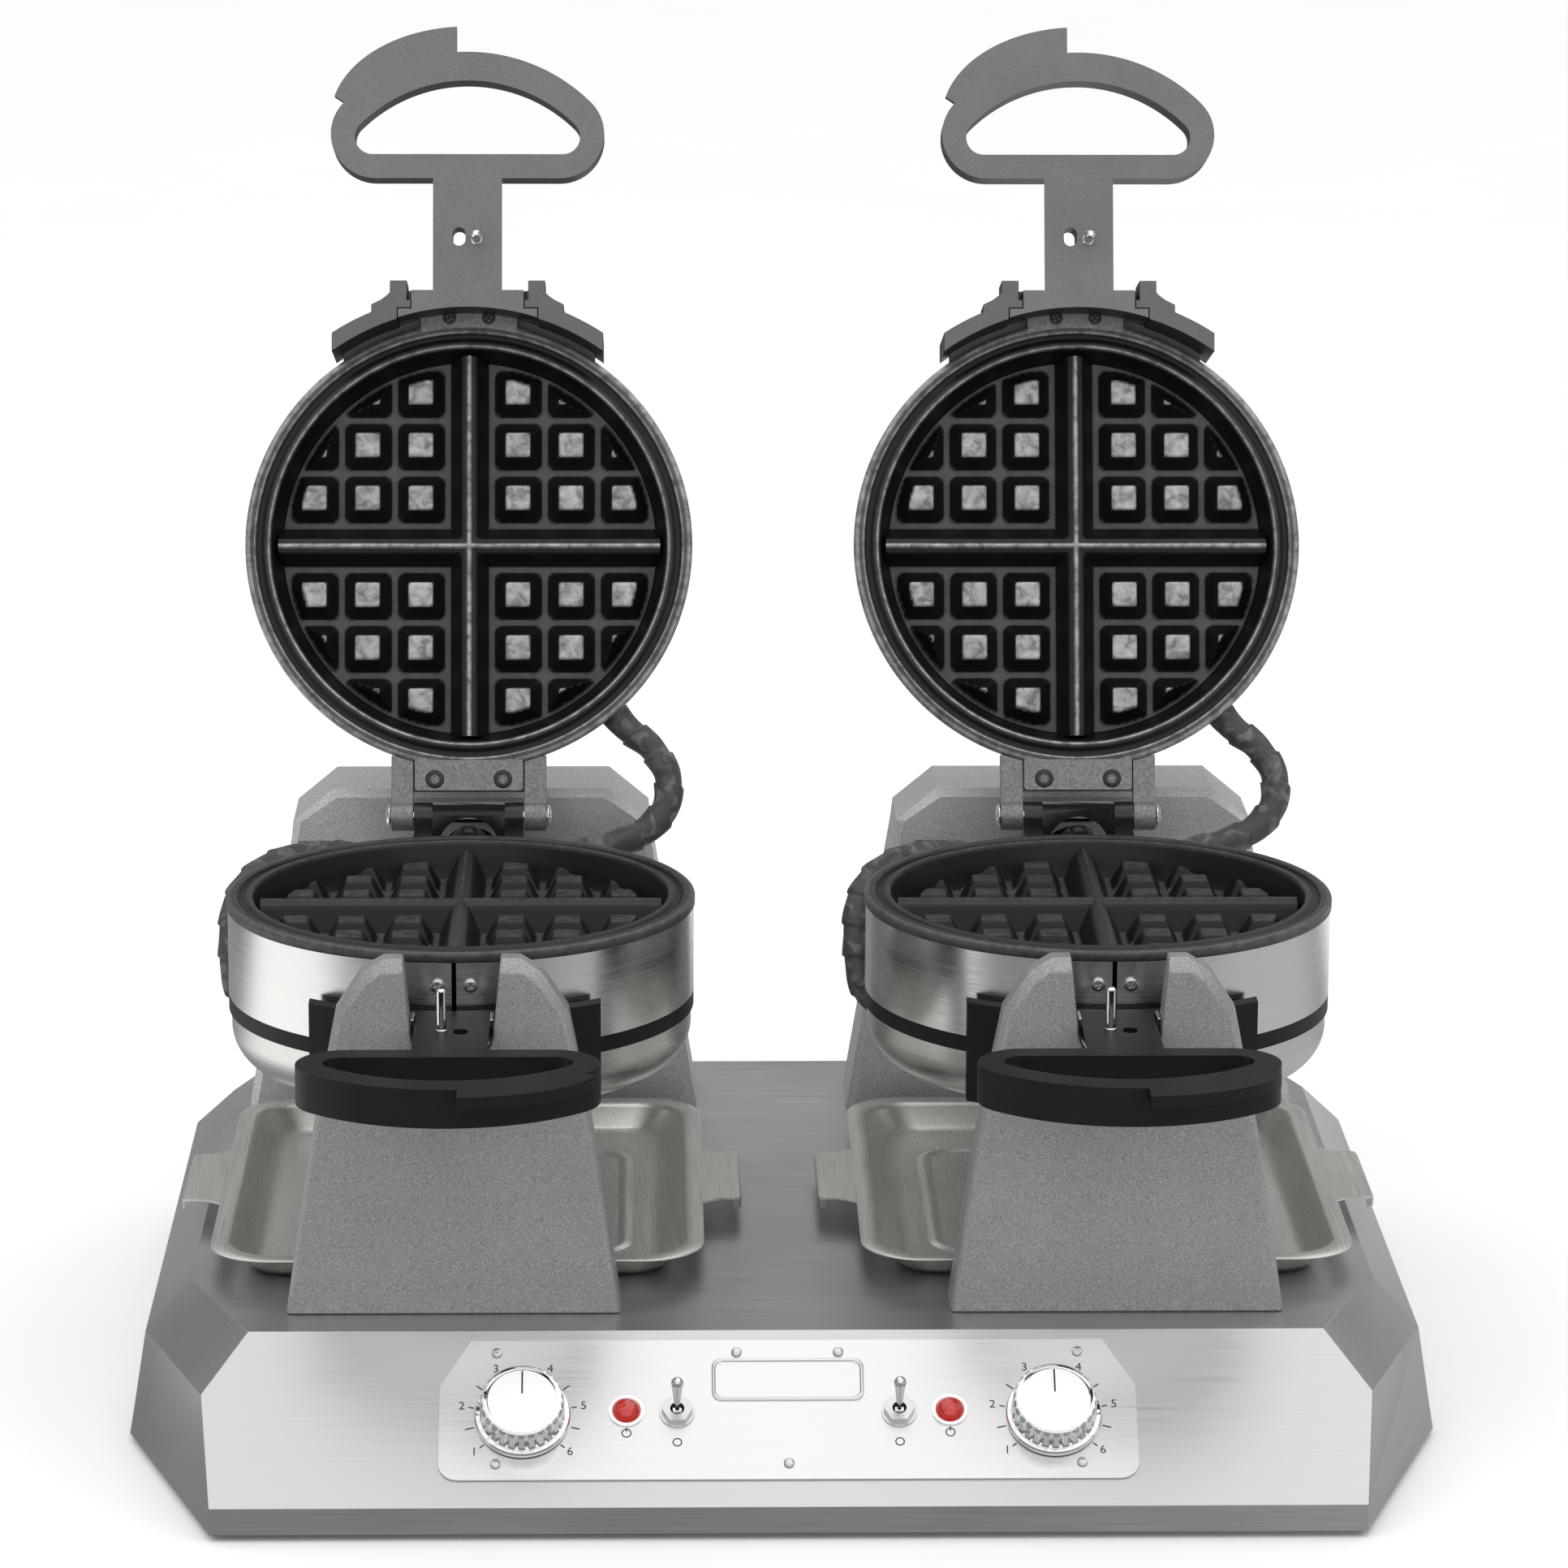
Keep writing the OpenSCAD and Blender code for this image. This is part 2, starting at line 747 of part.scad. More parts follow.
// Screwed-in back plates of the rear posts
module rear_covers() {
    color([0.3, 0.3, 0.31])
        for (side = [-1, 1])
            unit(side)
                translate([0, rear_post_y[1] - 0.5, 0])
                    rotate([90, 0, 0])
                        linear_extrude(1.5)
                            intersection() {
                                polygon(rear_outline(4.2));
                                translate([-120, deck_z - rim_z + 1]) square([240, 200]);
                            }
}

// Chromed front saddles and flanged rear bushes
module pivot_bushes() {
    bush_len = 38;
    color([0.8, 0.8, 0.8])
        for (side = [-1, 1])
            unit(side) {
                translate([0, post_back_y - 0.5, -flip_drop])
                    rotate([90, 0, 0])
                        linear_extrude(12)
                            difference() {
                                circle(saddle_r);
                                circle(neck_r + 0.4);
                                translate([-40, 3]) square([80, 40]);
                            }
                translate([0, rear_post_y[0] - 2, -flip_drop])
                    rotate([-90, 0, 0])
                        difference() {
                            union() {
                                cylinder(r = axle_r + 3.5, h = bush_len);
                                cylinder(r = axle_r + 6, h = 2);
                            }
                            translate([0, 0, -1]) cylinder(r = axle_r + run, h = bush_len + 2);
                        }
            }
}

// ---------- base ----------

function base_corners(w_mid, w_side, d_front, d_bend, d_back, w_back, d_rear) =
    [[w_mid, -d_front], [w_side, -d_bend], [w_side, d_back], [w_back, d_rear]];
function both_sides(half, z) =
    concat([for (p = half) [p.x, p.y, z]],
        [for (i = [len(half) - 1 : -1 : 0]) [-half[i].x, half[i].y, z]]);

module base_solid(inset) {
    bend_z = floor_z + 46;
    bend_y = panel_foot_y + (bend_z - panel_foot_z) * panel_run / panel_rise;
    stacked([
        both_sides(base_corners(238 - inset, base_half_w - inset, -panel_foot_y - inset, 108,
            200, 256 - inset, base_half_d - inset), floor_z - (inset > 0 ? 1 : 0)),
        both_sides(base_corners(238 - inset, base_half_w - 2 - inset, -panel_foot_y - inset, 108,
            200, 255 - inset, base_half_d - 0.1 - inset), panel_foot_z - inset * 0.35),
        both_sides(base_corners(243.5 - inset, base_half_w - 7.5 - inset, -bend_y - inset, 107,
            200, 252 - inset, base_half_d - 0.2 - inset), bend_z - inset * 0.35),
        both_sides(base_corners(225 - inset, 254 - inset, -panel_head_y - inset * 0.4, 96,
            190, 238 - inset, base_half_d - 0.3 - inset), deck_z - inset)]);
}

module base_shell() {
    color([0.5, 0.5, 0.51])
        difference() {
            base_solid(0);
            base_solid(sheet_t);
            on_panel()
                for (side = [-1, 1])
                    translate([side * 78 - 48, 24, -8]) cube([96, 36, 20]);
        }
}

module base_floor() {
    slot = [4, 30];
    color([0.45, 0.45, 0.46])
        difference() {
            translate([0, 0, floor_z])
                linear_extrude(sheet_t)
                    polygon([[-232, -228], [232, -228], [276, -106], [276, 196],
                        [250, 232], [-250, 232], [-276, 196], [-276, -106]]);
            for (x = [-60 : 20 : 60])
                translate([x, -slot.y / 2, 0]) cube([slot.x, slot.y, 20]);
        }
}

module feet() {
    color([0.08, 0.08, 0.08])
        for (x = [-1, 1], y = [-185, 195])
            translate([x * 205, y, 0]) cylinder(r = 14, h = foot_h);
}

// ---------- controls ----------

module control_panel() {
    color([0.8, 0.8, 0.8])
        on_panel()
            linear_extrude(panel_t)
                difference() {
                    polygon(concat(
                        [[132, 79.5], [-132, 79.5], [-144.6, 57]],
                        arc([-136.6, 20.5], 8, 180, 270, 8),
                        arc([136.6, 20.5], 8, 270, 360, 8),
                        [[144.6, 57]]));
                    for (side = [-1, 1]) {
                        translate([side * knob_x, controls_row]) circle(4.5);
                        translate([side * lamp_x, controls_row + 2.5]) circle(5.5);
                        translate([side * switch_x, controls_row + 2]) circle(4);
                    }
                }
}

rivet_spots = [[-121, 73.3], [121, 73.3], [-21.2, 73.3], [21.2, 73.3], [-121, 20],
    [121, 20], [0, 20]];

module panel_rivets() {
    color([0.85, 0.85, 0.85])
        on_panel()
            for (p = rivet_spots)
                translate([p.x, p.y, panel_t]) {
                    cylinder(r = 2.2, h = 0.8);
                    translate([0, 0, 0.8]) cylinder(r1 = 2.2, r2 = 1.2, h = 0.5);
                }
}

module lamps() {
    color([0.7, 0.1, 0.08])
        on_panel()
            for (side = [-1, 1])
                translate([side * lamp_x, controls_row + 2.5, 0]) {
                    translate([0, 0, -22]) cylinder(r = 4.9, h = 22 + panel_t);
                    translate([0, 0, panel_t])
                        rotate_extrude()
                            polygon(concat([[0, 0], [6, 0], [6, 1]],
                                [for (i = [0 : 9]) [5.4 * cos(i * 10), 1 + 3.6 * sin(i * 10)]]));
                }
}

module switch_bodies() {
    color([0.55, 0.55, 0.56])
        on_panel()
            for (side = [-1, 1])
                translate([side * switch_x, controls_row + 2, 0])
                    difference() {
                        union() {
                            translate([-7, -13, -26]) cube([14, 26, 24]);
                            translate([0, 0, -3]) cylinder(r = 3.8, h = 3 + panel_t + 3);
                            translate([0, 0, panel_t]) cylinder(r = 7.4, h = 0.8);
                            translate([0, 0, panel_t + 0.8])
                                cylinder(r = 6.4, h = 2.6, $fn = 6);
                        }
                        translate([0, 0, -10]) cylinder(r = 2.9, h = 40);
                    }
}

// The lever stands up the slope when on; its pivot lies in the switch's collar
module toggle(side) {
    tip_r = 2.6;
    stem_r = 1.1;
    color([0.8, 0.8, 0.8])
        on_panel()
            translate([side * switch_x, controls_row + 2, panel_t + 1])
                rotate([-15, 0, 0]) {
                    translate([-1.8, 0, 0]) rotate([0, 90, 0]) cylinder(r = 1.7, h = 3.6);
                    translate([0, 0, -1.5]) cylinder(r = stem_r, h = 5);
                    translate([0, 0, 3]) cylinder(r1 = stem_r, r2 = tip_r, h = 13);
                    translate([0, 0, 16]) sphere(tip_r);
                }
}

module knob(side) {
    color([0.78, 0.78, 0.78])
        on_panel()
            translate([side * knob_x, controls_row, 0]) {
                translate([0, 0, panel_t + 0.6]) cylinder(r = knob_r + 2.4, h = 2.4);
                translate([0, 0, panel_t + 3]) cylinder(r = knob_r, h = 10.6);
                translate([0, 0, panel_t + 13.6])
                    cylinder(r1 = knob_r, r2 = knob_r - 1.2, h = 1.2);
                translate([0, 0, -9]) cylinder(r = 3, h = 12);
            }
}

module thermostats() {
    color([0.7, 0.65, 0.5])
        on_panel()
            for (side = [-1, 1])
                translate([side * knob_x, controls_row, 0])
                    difference() {
                        union() {
                            translate([-20, -16, -26]) cube([40, 32, 24]);
                            translate([0, 0, -3]) cylinder(r = 4.4, h = 3 + panel_t);
                        }
                        translate([0, 0, -10]) cylinder(r = 3 + run, h = 40);
                    }
}

// ---------- the assembly ----------

for (i = [0, 1]) {
    side = 2 * i - 1;
    s = SIDES[i];
    unit(side) open_lid() lid_cover();
    unit(side) open_lid() lid_plate();
    unit(side) open_lid() lid_bracket();
    unit(side) open_lid() lid_handle();
    unit(side) open_lid() lid_hinge_leaf();
    unit(side) open_lid() lid_element();
    unit(side) open_lid() lid_screws();
    unit(side) open_lid() lid_latch_pin();
    unit(side) drum_bowl();
    unit(side) drum_band();
    unit(side) drum_plate();
    unit(side) drum_bracket();
    unit(side) drum_handle();
    unit(side) drum_latch_pin();
    unit(side) drum_element();
    unit(side) drum_screws();
    unit(side) hinge_yoke();
    unit(side) hinge_pin();
    unit(side) lid_cable();
    unit(side) drum_cable();
    translate([side * unit_x, 0, deck_z]) tray();
    knob(side);
    toggle(side);
    unit(side) front_post();
    unit(side) rear_post();
}
base_shell();
base_floor();
feet();
control_panel();
panel_rivets();
lamps();
switch_bodies();
thermostats();
pivot_bushes();
rear_covers();
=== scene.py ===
import math

import bmesh
import bpy
import numpy as np
from mathutils import Matrix, Vector


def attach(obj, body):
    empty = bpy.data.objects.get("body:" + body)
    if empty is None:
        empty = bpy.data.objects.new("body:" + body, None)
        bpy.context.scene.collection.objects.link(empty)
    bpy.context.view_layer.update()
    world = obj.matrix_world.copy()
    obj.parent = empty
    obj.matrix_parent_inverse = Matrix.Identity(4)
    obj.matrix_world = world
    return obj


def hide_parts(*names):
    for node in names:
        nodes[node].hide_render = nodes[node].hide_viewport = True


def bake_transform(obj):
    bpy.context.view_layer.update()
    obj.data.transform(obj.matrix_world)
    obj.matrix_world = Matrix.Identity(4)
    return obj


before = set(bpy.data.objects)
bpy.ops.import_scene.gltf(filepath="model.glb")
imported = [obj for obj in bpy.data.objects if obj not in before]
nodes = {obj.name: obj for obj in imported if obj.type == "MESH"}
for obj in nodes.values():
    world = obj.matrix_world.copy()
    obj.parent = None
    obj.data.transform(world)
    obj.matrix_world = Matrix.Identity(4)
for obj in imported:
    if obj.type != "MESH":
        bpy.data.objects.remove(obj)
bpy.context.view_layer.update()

# ---------- the design's own sizes, in millimetres ----------

MM = 0.001
SIDES = {"left": -1, "right": 1}
UNIT_X = 140
RIM_Z = 215
DECK_Z = 68.5
FLIP_DROP = 24
HINGE_Y, HINGE_RISE = 125, 3
LID_TURN = math.radians(-107)
LID_GAP = 0.3
BAND_R = 102.1
PAD_R, PAD_HALF_W = 108.6, 22.4
LUG_HALF_W, LUG_Y = 25, 113.5
RIM_SCREW, LEAF_SCREW, BAND_SCREW = (9, -105), (15.6, 108), (7, -14.5)
AXLE_R, AXLE_RING_Y = 10.2, 192
PIN_X, PIN_D = 4.2, 138
RIM_T = 4.6
CAVITY = 16.5
PANEL_FOOT = (-231.5, 14.5)
PANEL_SLOPE = math.atan2(54, 65.5)
PANEL_T = 1
CABLE_D = 13.8


def unit_matrix(side):
    return Matrix.Translation((side * UNIT_X, 0, RIM_Z))


def open_lid(side):
    """From the closed lid, in the unit's own frame, to where the open lid stands."""
    pivot = Matrix.Translation((0, HINGE_Y, HINGE_RISE))
    return unit_matrix(side) @ pivot @ Matrix.Rotation(LID_TURN, 4, "X") @ pivot.inverted()


def on_panel(x, along, out=0.0):
    foot = Matrix.Translation((0, *PANEL_FOOT)) @ Matrix.Rotation(PANEL_SLOPE, 4, "X")
    return foot @ Matrix.Translation((x, along, out))


# ---------- camera ----------

CAMERA_AT = Vector((-57.5, -2551.5, 881.3)) * MM
YAW, PITCH, ROLL = (math.radians(a) for a in (1.33, 13.61, -0.24))
LENS = 137.72


def make_camera():
    forward = Vector((math.sin(YAW) * math.cos(PITCH), math.cos(YAW) * math.cos(PITCH),
                      -math.sin(PITCH)))
    right = Vector((math.cos(YAW), -math.sin(YAW), 0))
    down = forward.cross(right)
    x_axis = right * math.cos(ROLL) + down * math.sin(ROLL)
    y_axis = -(down * math.cos(ROLL) - right * math.sin(ROLL))
    cam = bpy.data.objects.new("camera", bpy.data.cameras.new("camera"))
    cam.data.lens = LENS
    cam.data.clip_end = 50
    turn = Matrix((x_axis, y_axis, -forward)).transposed().to_4x4()
    cam.matrix_world = Matrix.Translation(CAMERA_AT) @ turn
    bpy.context.scene.collection.objects.link(cam)
    bpy.context.scene.camera = cam


make_camera()

# ---------- mesh helpers ----------


def add_object(name, mesh, matrix, body, materials, smooth=40, bevel=None):
    """matrix is in millimetres; the mesh is stored in metres, in the model's frame"""
    mesh.transform(Matrix.Scale(MM, 4) @ matrix)
    for m in materials:
        mesh.materials.append(m)
    mesh.shade_smooth()
    mesh.set_sharp_from_angle(angle=math.radians(smooth))
    obj = bpy.data.objects.new(name, mesh)
    bpy.context.scene.collection.objects.link(obj)
    if bevel:
        round_edges(obj, bevel)
    if body:
        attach(obj, body)
    return obj


def round_edges(obj, width, segments=2, angle=30):
    mod = obj.modifiers.new("edges", "BEVEL")
    mod.width = width * MM
    mod.segments = segments
    mod.limit_method = "ANGLE"
    mod.angle_limit = math.radians(angle)
    mod.use_clamp_overlap = True
    mod.harden_normals = True


def mesh_from(name, points, faces, indices=None):
    mesh = bpy.data.meshes.new(name)
    mesh.from_pydata([tuple(p) for p in points], [], faces)
    if indices is not None:
        mesh.polygons.foreach_set("material_index", indices)
    mesh.validate()
    tidy = bmesh.new()
    tidy.from_mesh(mesh)
    bmesh.ops.recalc_face_normals(tidy, faces=tidy.faces)
    tidy.to_mesh(mesh)
    tidy.free()
    return mesh


def loft(loops, cap_first=True, cap_last=True):
    """Points and faces of a skin through closed loops with the same number of points."""
    n = len(loops[0])
    points = [p for loop in loops for p in loop]
    faces = []
    for i in range(len(loops) - 1):
        for k in range(n):
            a, b = i * n + k, i * n + (k + 1) % n
            faces.append((a, b, b + n, a + n))
    if cap_first:
        faces.append(tuple(range(n - 1, -1, -1)))
    if cap_last:
        faces.append(tuple((len(loops) - 1) * n + k for k in range(n)))
    return points, faces


def lathe(profile, segments, cap_first=True, cap_last=True):
    """profile is (radius, height) pairs, turned round Z."""
    loops = [[(r * math.cos(a), r * math.sin(a), z)
              for a in (2 * math.pi * k / segments for k in range(segments))]
             for r, z in profile]
    return loft(loops, cap_first, cap_last)


def closed_lathe(profile, segments):
    """A ring whose section is the closed profile"""
    points, faces = lathe(profile, segments, False, False)
    last = (len(profile) - 1) * segments
    for k in range(segments):
        ahead = (k + 1) % segments
        faces.append((k, last + k, last + ahead, ahead))
    return points, faces


def join(parts):
    """One list of points and faces from several, with a material index for each part."""
    points, faces, indices = [], [], []
    for part_points, part_faces, index in parts:
        base = len(points)
        points += list(part_points)
        faces += [tuple(base + v for v in f) for f in part_faces]
        indices += [index] * len(part_faces)
    return points, faces, indices


def arc(cx, cy, r, start, end, steps):
    angles = [math.radians(start + (end - start) * i / steps) for i in range(steps + 1)]
    return [(cx + r * math.cos(a), cy + r * math.sin(a)) for a in angles]


def rounded_rect(width, depth, r, steps=8):
    loop = []
    for q, (sx, sy) in enumerate(((1, 1), (-1, 1), (-1, -1), (1, -1))):
        loop += arc(sx * (width / 2 - r), sy * (depth / 2 - r), r, 90 * q, 90 * q + 90, steps)
    return loop


def level(loop, z):
    return [(x, y, z) for x, y in loop]


# ---------- materials ----------


class Nodes:
    """A small hand for wiring one material's nodes."""

    def __init__(self, name):
        self.material = bpy.data.materials.new(name)
        self.material.use_nodes = True
        self.tree = self.material.node_tree
        self.shader = self.tree.nodes["Principled BSDF"]
        self.coords = self.tree.nodes.new("ShaderNodeTexCoord").outputs["Object"]

    def new(self, kind, inputs=None, **settings):
        node = self.tree.nodes.new(kind)
        for key, value in settings.items():
            setattr(node, key, value)
        for key, value in (inputs or {}).items():
            if isinstance(value, bpy.types.NodeSocket):
                self.tree.links.new(value, node.inputs[key])
            else:
                node.inputs[key].default_value = value
        return node

    def math(self, operation, a, b=0.0, c=0.0):
        return self.new("ShaderNodeMath", {0: a, 1: b, 2: c}, operation=operation).outputs[0]

    def fit(self, value, low, high, to_low, to_high):
        return self.new("ShaderNodeMapRange", {0: value, 1: low, 2: high, 3: to_low,
                                               4: to_high}).outputs[0]

    def noise(self, scale, detail=3.0, vector=None, distortion=0.0, rough=0.5):
        spread = self.new("ShaderNodeMapping",
                          {"Vector": vector or self.coords, "Scale": scale}).outputs[0]
        return self.new("ShaderNodeTexNoise",
                        {"Vector": spread, "Scale": 1.0, "Detail": detail, "Roughness": rough,
                         "Distortion": distortion}).outputs["Fac"]

    def cells(self, scale):
        return self.new("ShaderNodeTexVoronoi", {"Vector": self.coords, "Scale": scale},
                        feature="SMOOTH_F1").outputs["Distance"]

    def mix(self, factor, a, b):
        node = self.new("ShaderNodeMix", {0: factor}, data_type="RGBA")
        for index, value in ((6, a), (7, b)):
            if isinstance(value, bpy.types.NodeSocket):
                self.tree.links.new(value, node.inputs[index])
            else:
                node.inputs[index].default_value = (*value, 1)
        return node.outputs[2]

    def tinted(self, color, factor):
        """color times a number that varies over the surface"""
        return self.new("ShaderNodeVectorMath", {0: color, "Scale": factor},
                        operation="SCALE").outputs[0]

    def bumps(self, heights):
        """heights is (height socket, distance in millimetres, strength) from coarse to fine"""
        normal = None
        for height, distance, strength in heights:
            node = self.new("ShaderNodeBump", {"Height": height, "Distance": distance * MM,
                                               "Strength": strength})
            if normal:
                self.tree.links.new(normal, node.inputs["Normal"])
            normal = node.outputs[0]
        self.tree.links.new(normal, self.shader.inputs["Normal"])

    def set(self, **values):
        for key, value in values.items():
            socket = self.shader.inputs[key.replace("_", " ")]
            if isinstance(value, bpy.types.NodeSocket):
                self.tree.links.new(value, socket)
            elif socket.type == "RGBA":
                socket.default_value = (*value, 1)
            else:
                socket.default_value = value


def finish_with(n, color, tint, roughness, spread, grain, blotch):
    """Colour and roughness from a fine grain and a broad blotch, each from 0 to 1"""
    shade = n.math("MULTIPLY", n.fit(grain, 0.3, 0.7, 1 - tint, 1 + tint),
                   n.fit(blotch, 0.3, 0.7, 1 - tint / 2, 1 + tint / 2))
    n.set(Base_Color=n.tinted(color, shade),
          Roughness=n.math("ADD", n.fit(grain, 0.3, 0.7, roughness - spread, roughness + spread),
                           n.fit(blotch, 0.3, 0.7, -spread / 2, spread / 2)))


def brushed(name, color, roughness=0.3, tint=0.06, along="x", metallic=1.0):
    """Sheet metal with a straight brush grain"""
    n = Nodes(name)
    scale = {"x": (24, 2200, 2200), "y": (2200, 24, 2200)}[along]
    grain = n.noise(scale, detail=4)
    blotch = n.noise((9, 9, 9), detail=3)
    finish_with(n, color, tint, roughness, 0.06, grain, blotch)
    n.set(Metallic=metallic)
    n.bumps([(grain, 0.01, 0.2)])
    return n.material


def spun(name, color, matrix, roughness=0.27, tint=0.05):
    """Turned sheet metal: fine rings round the axis of the given frame"""
    n = Nodes(name)
    inverse = (Matrix.Scale(MM, 4) @ matrix @ Matrix.Scale(1 / MM, 4)).inverted()
    place = n.new("ShaderNodeMapping",
                  {"Vector": n.coords, "Location": inverse.to_translation(),
                   "Rotation": inverse.to_euler()}).outputs[0]
    split = n.new("ShaderNodeSeparateXYZ", {0: place})
    radius = n.math("SQRT", n.math("ADD", n.math("MULTIPLY", split.outputs[0], split.outputs[0]),
                                   n.math("MULTIPLY", split.outputs[1], split.outputs[1])))
    rings = n.new("ShaderNodeCombineXYZ", {0: radius, 1: split.outputs[2]}).outputs[0]
    grain = n.noise((700, 1500, 1), detail=4, vector=rings)
    streak = n.noise((30, 30, 30), detail=3)
    finish_with(n, color, tint, roughness, 0.05, grain, streak)
    n.set(Metallic=1.0)
    n.bumps([(grain, 0.01, 0.15)])
    return n.material


def polished(name, color, roughness=0.1):
    n = Nodes(name)
    smear = n.noise((180, 180, 180), detail=4)
    speck = n.noise((1200, 1200, 1200), detail=2)
    finish_with(n, color, 0.05, roughness, 0.05, speck, smear)
    n.set(Metallic=1.0)
    n.bumps([(smear, 0.03, 0.12)])
    return n.material


def hammered(name, color):
    """Metallic paint that dries in small dimples, with flakes and lighter specks"""
    n = Nodes(name)
    cells = n.cells(620)
    flakes = n.noise((1350, 1350, 1350), detail=3, rough=0.7)
    cloud = n.noise((22, 22, 22), detail=3)
    shade = n.math("MULTIPLY", n.fit(flakes, 0.35, 0.7, 0.72, 1.42),
                   n.fit(cloud, 0.3, 0.7, 0.96, 1.05))
    n.set(Base_Color=n.tinted(color, shade), Metallic=0.45,
          Roughness=n.fit(flakes, 0.3, 0.7, 0.5, 0.36))
    n.bumps([(cells, 0.12, 0.3), (flakes, 0.03, 0.25)])
    return n.material


def moulded(name, color, roughness, grain_size=900, tint=0.1, bump=0.03):
    """Moulded plastic, rubber or wrinkle paint with a fine even grain"""
    n = Nodes(name)
    grain = n.noise((grain_size,) * 3, detail=3)
    cloud = n.noise((25, 25, 25), detail=4)
    finish_with(n, color, tint, roughness, 0.05, grain, cloud)
    n.bumps([(cloud, 0.25, 0.08), (grain, bump, 0.5)])
    return n.material


def faced(name, color, lit_face_color, facing, roughness=0.42):
    """Dark textured casting whose faces square to facing are painted lighter: a painted highlight
    where those faces catch the light
    """
    n = Nodes(name)
    normal = n.new("ShaderNodeTexCoord").outputs["Normal"]
    lit_face_share = n.new("ShaderNodeVectorMath", {0: normal, 1: facing},
                   operation="DOT_PRODUCT").outputs["Value"]
    grain = n.noise((1300, 1300, 1300), detail=3)
    cloud = n.noise((40, 40, 40), detail=4)
    shade = n.math("MULTIPLY", n.fit(grain, 0.3, 0.7, 0.88, 1.14),
                   n.fit(cloud, 0.3, 0.7, 0.94, 1.06))
    # painted highlight: faces square to facing get the lighter colour
    base = n.mix(n.fit(lit_face_share, 0.8, 0.97, 0.0, 1.0), color, lit_face_color)
    n.set(Base_Color=n.tinted(base, shade),
          Roughness=n.fit(grain, 0.3, 0.7, roughness - 0.04, roughness + 0.06),
          Specular_IOR_Level=0.18)
    n.bumps([(cloud, 0.2, 0.06), (grain, 0.03, 0.4)])
    return n.material


def cast(name, color, roughness=0.45, metallic=0.6):
    """Sand-cast metal: mottled, with worn light specks"""
    n = Nodes(name)
    lumps = n.noise((640, 640, 640), detail=5, distortion=0.4)
    specks = n.noise((1500, 1500, 1500), detail=3)
    shade = n.math("MULTIPLY", n.fit(lumps, 0.35, 0.65, 0.78, 1.22),
                   n.fit(specks, 0.3, 0.7, 0.85, 1.2))
    n.set(Base_Color=n.tinted(color, shade), Metallic=metallic,
          Roughness=n.fit(specks, 0.3, 0.7, roughness - 0.08, roughness + 0.1))
    n.bumps([(lumps, 0.12, 0.35), (specks, 0.04, 0.4)])
    return n.material


def coated(name, worn):
    """Black non-stick coating over cast metal; the mesh's own attributes say where it has worn
    through to metal (on the lid partly a painted highlight) and where flat coating is painted
    lighter as a painted highlight"""
    n = Nodes(name)
    wear = n.new("ShaderNodeAttribute", attribute_name="wear").outputs["Fac"]
    painted_sheen = n.new("ShaderNodeAttribute", attribute_name="painted_sheen").outputs["Fac"]
    patch = n.noise((190, 190, 190), detail=6, distortion=0.5, rough=0.6)
    grain = n.noise((1300, 1300, 1300), detail=3)
    wear_and_highlight = n.math("MULTIPLY", wear, n.fit(patch, 0.3, 0.5, 0.62, 1.0))
    # worn is the metal level, set far higher on the lid: partly real wear, partly a painted
    # highlight on the lid's tops and rim
    wear_and_highlight = n.math("MULTIPLY", wear_and_highlight, worn)
    shade = n.fit(grain, 0.3, 0.7, 0.85, 1.2)
    black = n.tinted((0.006, 0.006, 0.006), shade)
    # painted highlight: grey on flat coating where the second attribute is set
    grey = n.tinted((0.07, 0.07, 0.07), n.fit(patch, 0.3, 0.7, 0.8, 1.2))
    metal = n.tinted((0.4, 0.4, 0.4), n.fit(patch, 0.35, 0.65, 0.6, 1.35))
    n.set(Base_Color=n.mix(wear_and_highlight, n.mix(painted_sheen, black, grey), metal), Metallic=wear_and_highlight,
          Roughness=n.math("ADD", n.fit(grain, 0.3, 0.7, 0.34, 0.44),
                           n.math("MULTIPLY", wear_and_highlight, 0.08)),
          Specular_IOR_Level=0.3)
    n.bumps([(patch, 0.06, 0.25), (grain, 0.025, 0.4)])
    return n.material


def lens(name, color):
    n = Nodes(name)
    cells = n.cells(900)
    n.set(Base_Color=n.tinted(color, n.fit(cells, 0.0, 0.6, 0.75, 1.3)), Roughness=0.12,
          Coat_Weight=1.0, Coat_Roughness=0.05, Transmission_Weight=0.25,
          Emission_Color=(1.0, 0.03, 0.01), Emission_Strength=0.03)
    n.bumps([(cells, 0.2, 0.25)])
    return n.material


def wrap_material(name):
    """Glass-fibre sleeve under black tape: a fine weave and soft scuffs"""
    n = Nodes(name)
    weave = n.noise((1500, 1500, 1500), detail=2)
    scuff = n.noise((120, 120, 120), detail=5, distortion=1.2)
    base = n.mix(n.fit(scuff, 0.5, 0.68, 0.0, 0.6), (0.045, 0.045, 0.047), (0.2, 0.2, 0.2))
    n.set(Base_Color=base, Roughness=n.fit(scuff, 0.3, 0.7, 0.42, 0.6))
    n.bumps([(scuff, 0.5, 0.3), (weave, 0.05, 0.4)])
    return n.material


chrome = polished("chrome", (0.78, 0.78, 0.79), 0.1)
knob_top = brushed("knob_top", (0.93, 0.93, 0.93), 0.42, 0.02, "x", 0.35)
bright_screw = polished("bright_screw", (0.6, 0.6, 0.6), 0.22)
dark_screw = cast("dark_screw", (0.03, 0.03, 0.03), 0.35, 0.5)
